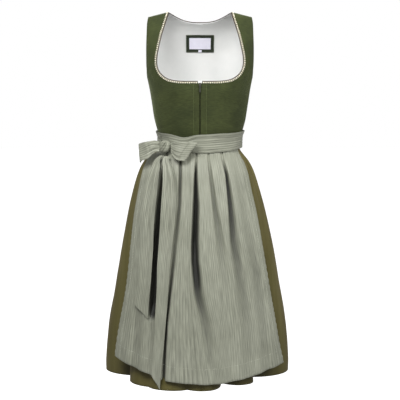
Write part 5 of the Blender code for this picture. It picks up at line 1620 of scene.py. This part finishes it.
def sliderPiece():
    wide, topZ, plateY, rounding = slider["half"], slider["topZ"], slider["plateY"], slider["round"]
    lowZ = topZ - slider["long"]
    shape = evenOutline([(wide * 0.62, lowZ), (wide, topZ - 0.0032), (wide * 0.9, topZ)], rounding)
    plateFront = plateY + slider["plateThick"]
    plate = platePiece("sliderPlate", [shape], plateY, plateFront, slider["rim"], (0, 2, 1))
    shape = evenOutline(
        [(wide * 0.5, lowZ + 0.0004), (wide * 0.86, topZ - 0.0034), (wide * 0.7, topZ - 0.0004)], 0.0010
    )
    core = platePiece("sliderCore", [shape], plateY + 0.0010, slider["backY"], puller["rim"], (0, 2, 1))
    low, high = puller["axisZ"] - slider["bridgeUp"], puller["axisZ"] + slider["bridgeUp"]
    front, back, bar = slider["bridgeY"], plateY + 0.0002, slider["bar"]
    arch = roundedOutline(((back, low), (back, high), (front, high - 0.0003), (front, low + 0.0003)), 0.0011)
    inBack, inFront = back - 0.0001, front + bar
    hole = roundedOutline(
        ((inBack, low + bar), (inBack, high - bar), (inFront, high - bar), (inFront, low + bar)), 0.0004
    )
    half = slider["bridgeHalf"]
    bridge = platePiece("sliderBridge", [arch, hole], -half, half, puller["rim"], (1, 2, 0))
    wear(joined("zipSlider", [plate, core, bridge]), "zip_metal", "zip_slider")


def pullPiece():
    wide, axisZ, halfThick, eye = puller["half"], puller["axisZ"], puller["thick"] / 2, puller["eyeHalf"]
    end, top = axisZ - puller["length"], axisZ + halfThick
    tab = evenOutline(
        [(wide, end), (wide, end + 0.006), (wide * 0.72, end + 0.0105), (wide, axisZ - 0.0045), (wide, top)],
        puller["round"],
    )
    hole = evenOutline([(eye, axisZ - puller["eyeLong"]), (eye, axisZ - halfThick)], puller["eyeRound"])
    low, high = puller["axisY"] - halfThick, puller["axisY"] + halfThick
    pull = platePiece("pullTab", [tab, hole], low, high, puller["rim"], (0, 2, 1))
    wear(pull, "zip_metal", "zip_pull", rideOn="zip_pull_tab")


sliderPiece()
pullPiece()
print("slider and pull tab made")

# Topstitching beside the zip, across its top, and along the edges and hems.
bodiceStitchLift = 0.00005
heights = np.linspace(zipper["stitchBottomZ"], zipper["stitchTopZ"], 60)
across = np.linspace(zipper["stitchTo"], zipper["stitchFrom"], 12)
runs = [onBody(side * zipper["stitchFrom"], heights) for side in (-1, 1)]
runs += [onBody(side * across, zipper["crossZ"]) for side in (-1, 1)]
paths = [place + normal * bodiceStitchLift for place, normal in runs]
sewStitches("zipTopstitch", "zip", paths, [normal for _, normal in runs], greenThread, "bodice_green")

heights = np.linspace(apron["hemZ"] + 0.004, -0.392, 60)
upRows = np.linspace(1, apron["rows"] - 12, 60).astype(int)
columns = (6, -7)  # counted in from each side edge
paths = [apronPoint(places[k], heights, apron["stitchLift"])[0] for k in columns]
ups = [apronNormals[upRows, k] for k in columns]
sewStitches("apronSideStitches", "apronSide", paths, ups, sageThread, "apron_sage")

for tag, (start, end) in skirtSpans.items():
    angles = np.linspace(radians(start) + 0.02, radians(end) - 0.02, 400)
    heights = size["hemZ"] + skirt["hemStitchUp"] + np.array((-0.001, 0, 0.001))
    strip = skirtPoint(angles[None, :], heights[:, None])
    up = gridNormals(strip)[1]
    sewStitches(
        "skirtHemStitches" + tag, "skirtHem", [strip[1] + up * 0.0002], [up], oliveThread, "skirt_olive"
    )
print("topstitching made")


# Floor, light and camera.
studio = {
    "floorZ": -1.46, "floorHalf": 9.0, "floorGlow": 0.85, "roomLight": 0.33, "aim": (0, 0, -0.35),
    "key": {"place": (-0.55, -1.6, 1.05), "width": 1.1, "watts": 47},
    "fill": {"place": (1.5, -1.7, 0.85), "width": 1.6, "watts": 37},
}
camera = {"distance": 3.2, "pitch": 9.34, "focalPixels": 1143, "imagePixels": 400, "sensor": 36}


def makeFloor():
    # A pale light table: matt white acrylic, lit a little from below.
    acrylic, _, _ = newMaterial("mattAcrylicFloor", {
        "Roughness": 0.7, "Base Color": colour("#f6f6f6"), "Emission Color": colour("#ffffff"),
        "Emission Strength": studio["floorGlow"],
    })
    half = studio["floorHalf"]
    corners = [(x * half, y * half, studio["floorZ"]) for x, y in ((-1, -1), (1, -1), (1, 1), (-1, 1))]
    floor = makeObject("floor", corners, [(0, 1, 2, 3)], acrylic, smooth=False)
    floor.visible_diffuse = floor.visible_glossy = False  # its glow shows, but lights nothing from below


def makeRoom():
    # Soft light from every side of a pale room, which itself shows as plain white.
    world = bpy.data.worlds.new("paleStudio")
    world.use_nodes = True
    tree = world.node_tree
    back = tree.nodes["Background"]
    back.inputs["Color"].default_value = colour("#ffffff")
    path = addNode(tree, "ShaderNodeLightPath")
    power = addNode(
        tree, "ShaderNodeMapRange",
        {"Value": path.outputs["Is Camera Ray"], "To Min": studio["roomLight"], "To Max": 1.0},
    )
    tree.links.new(power.outputs["Result"], back.inputs["Strength"])
    bpy.context.scene.world = world


def softLight(name, look):
    light = bpy.data.lights.new(name, "AREA")
    light.shape = "DISK"
    light.size = look["width"]
    light.energy = look["watts"]
    obj = addObject(name, light)
    obj.location = look["place"]
    aim = Vector(studio["aim"]) - Vector(look["place"])
    obj.rotation_euler = aim.to_track_quat("-Z", "Y").to_euler()


def makeCamera():
    lens = bpy.data.cameras.new("frontCamera")
    lens.sensor_width = camera["sensor"]
    lens.lens = camera["focalPixels"] * camera["sensor"] / camera["imagePixels"]
    eye = addObject("frontCamera", lens)
    eye.location = (0, -camera["distance"], 0)
    eye.rotation_euler = (radians(90 - camera["pitch"]), 0, 0)
    bpy.context.scene.camera = eye


makeFloor()
makeRoom()
softLight("keyFrontLeft", studio["key"])
softLight("fillRight", studio["fill"])
makeCamera()
bpy.context.scene.view_settings.view_transform = "Standard"
print("floor, light and camera made")
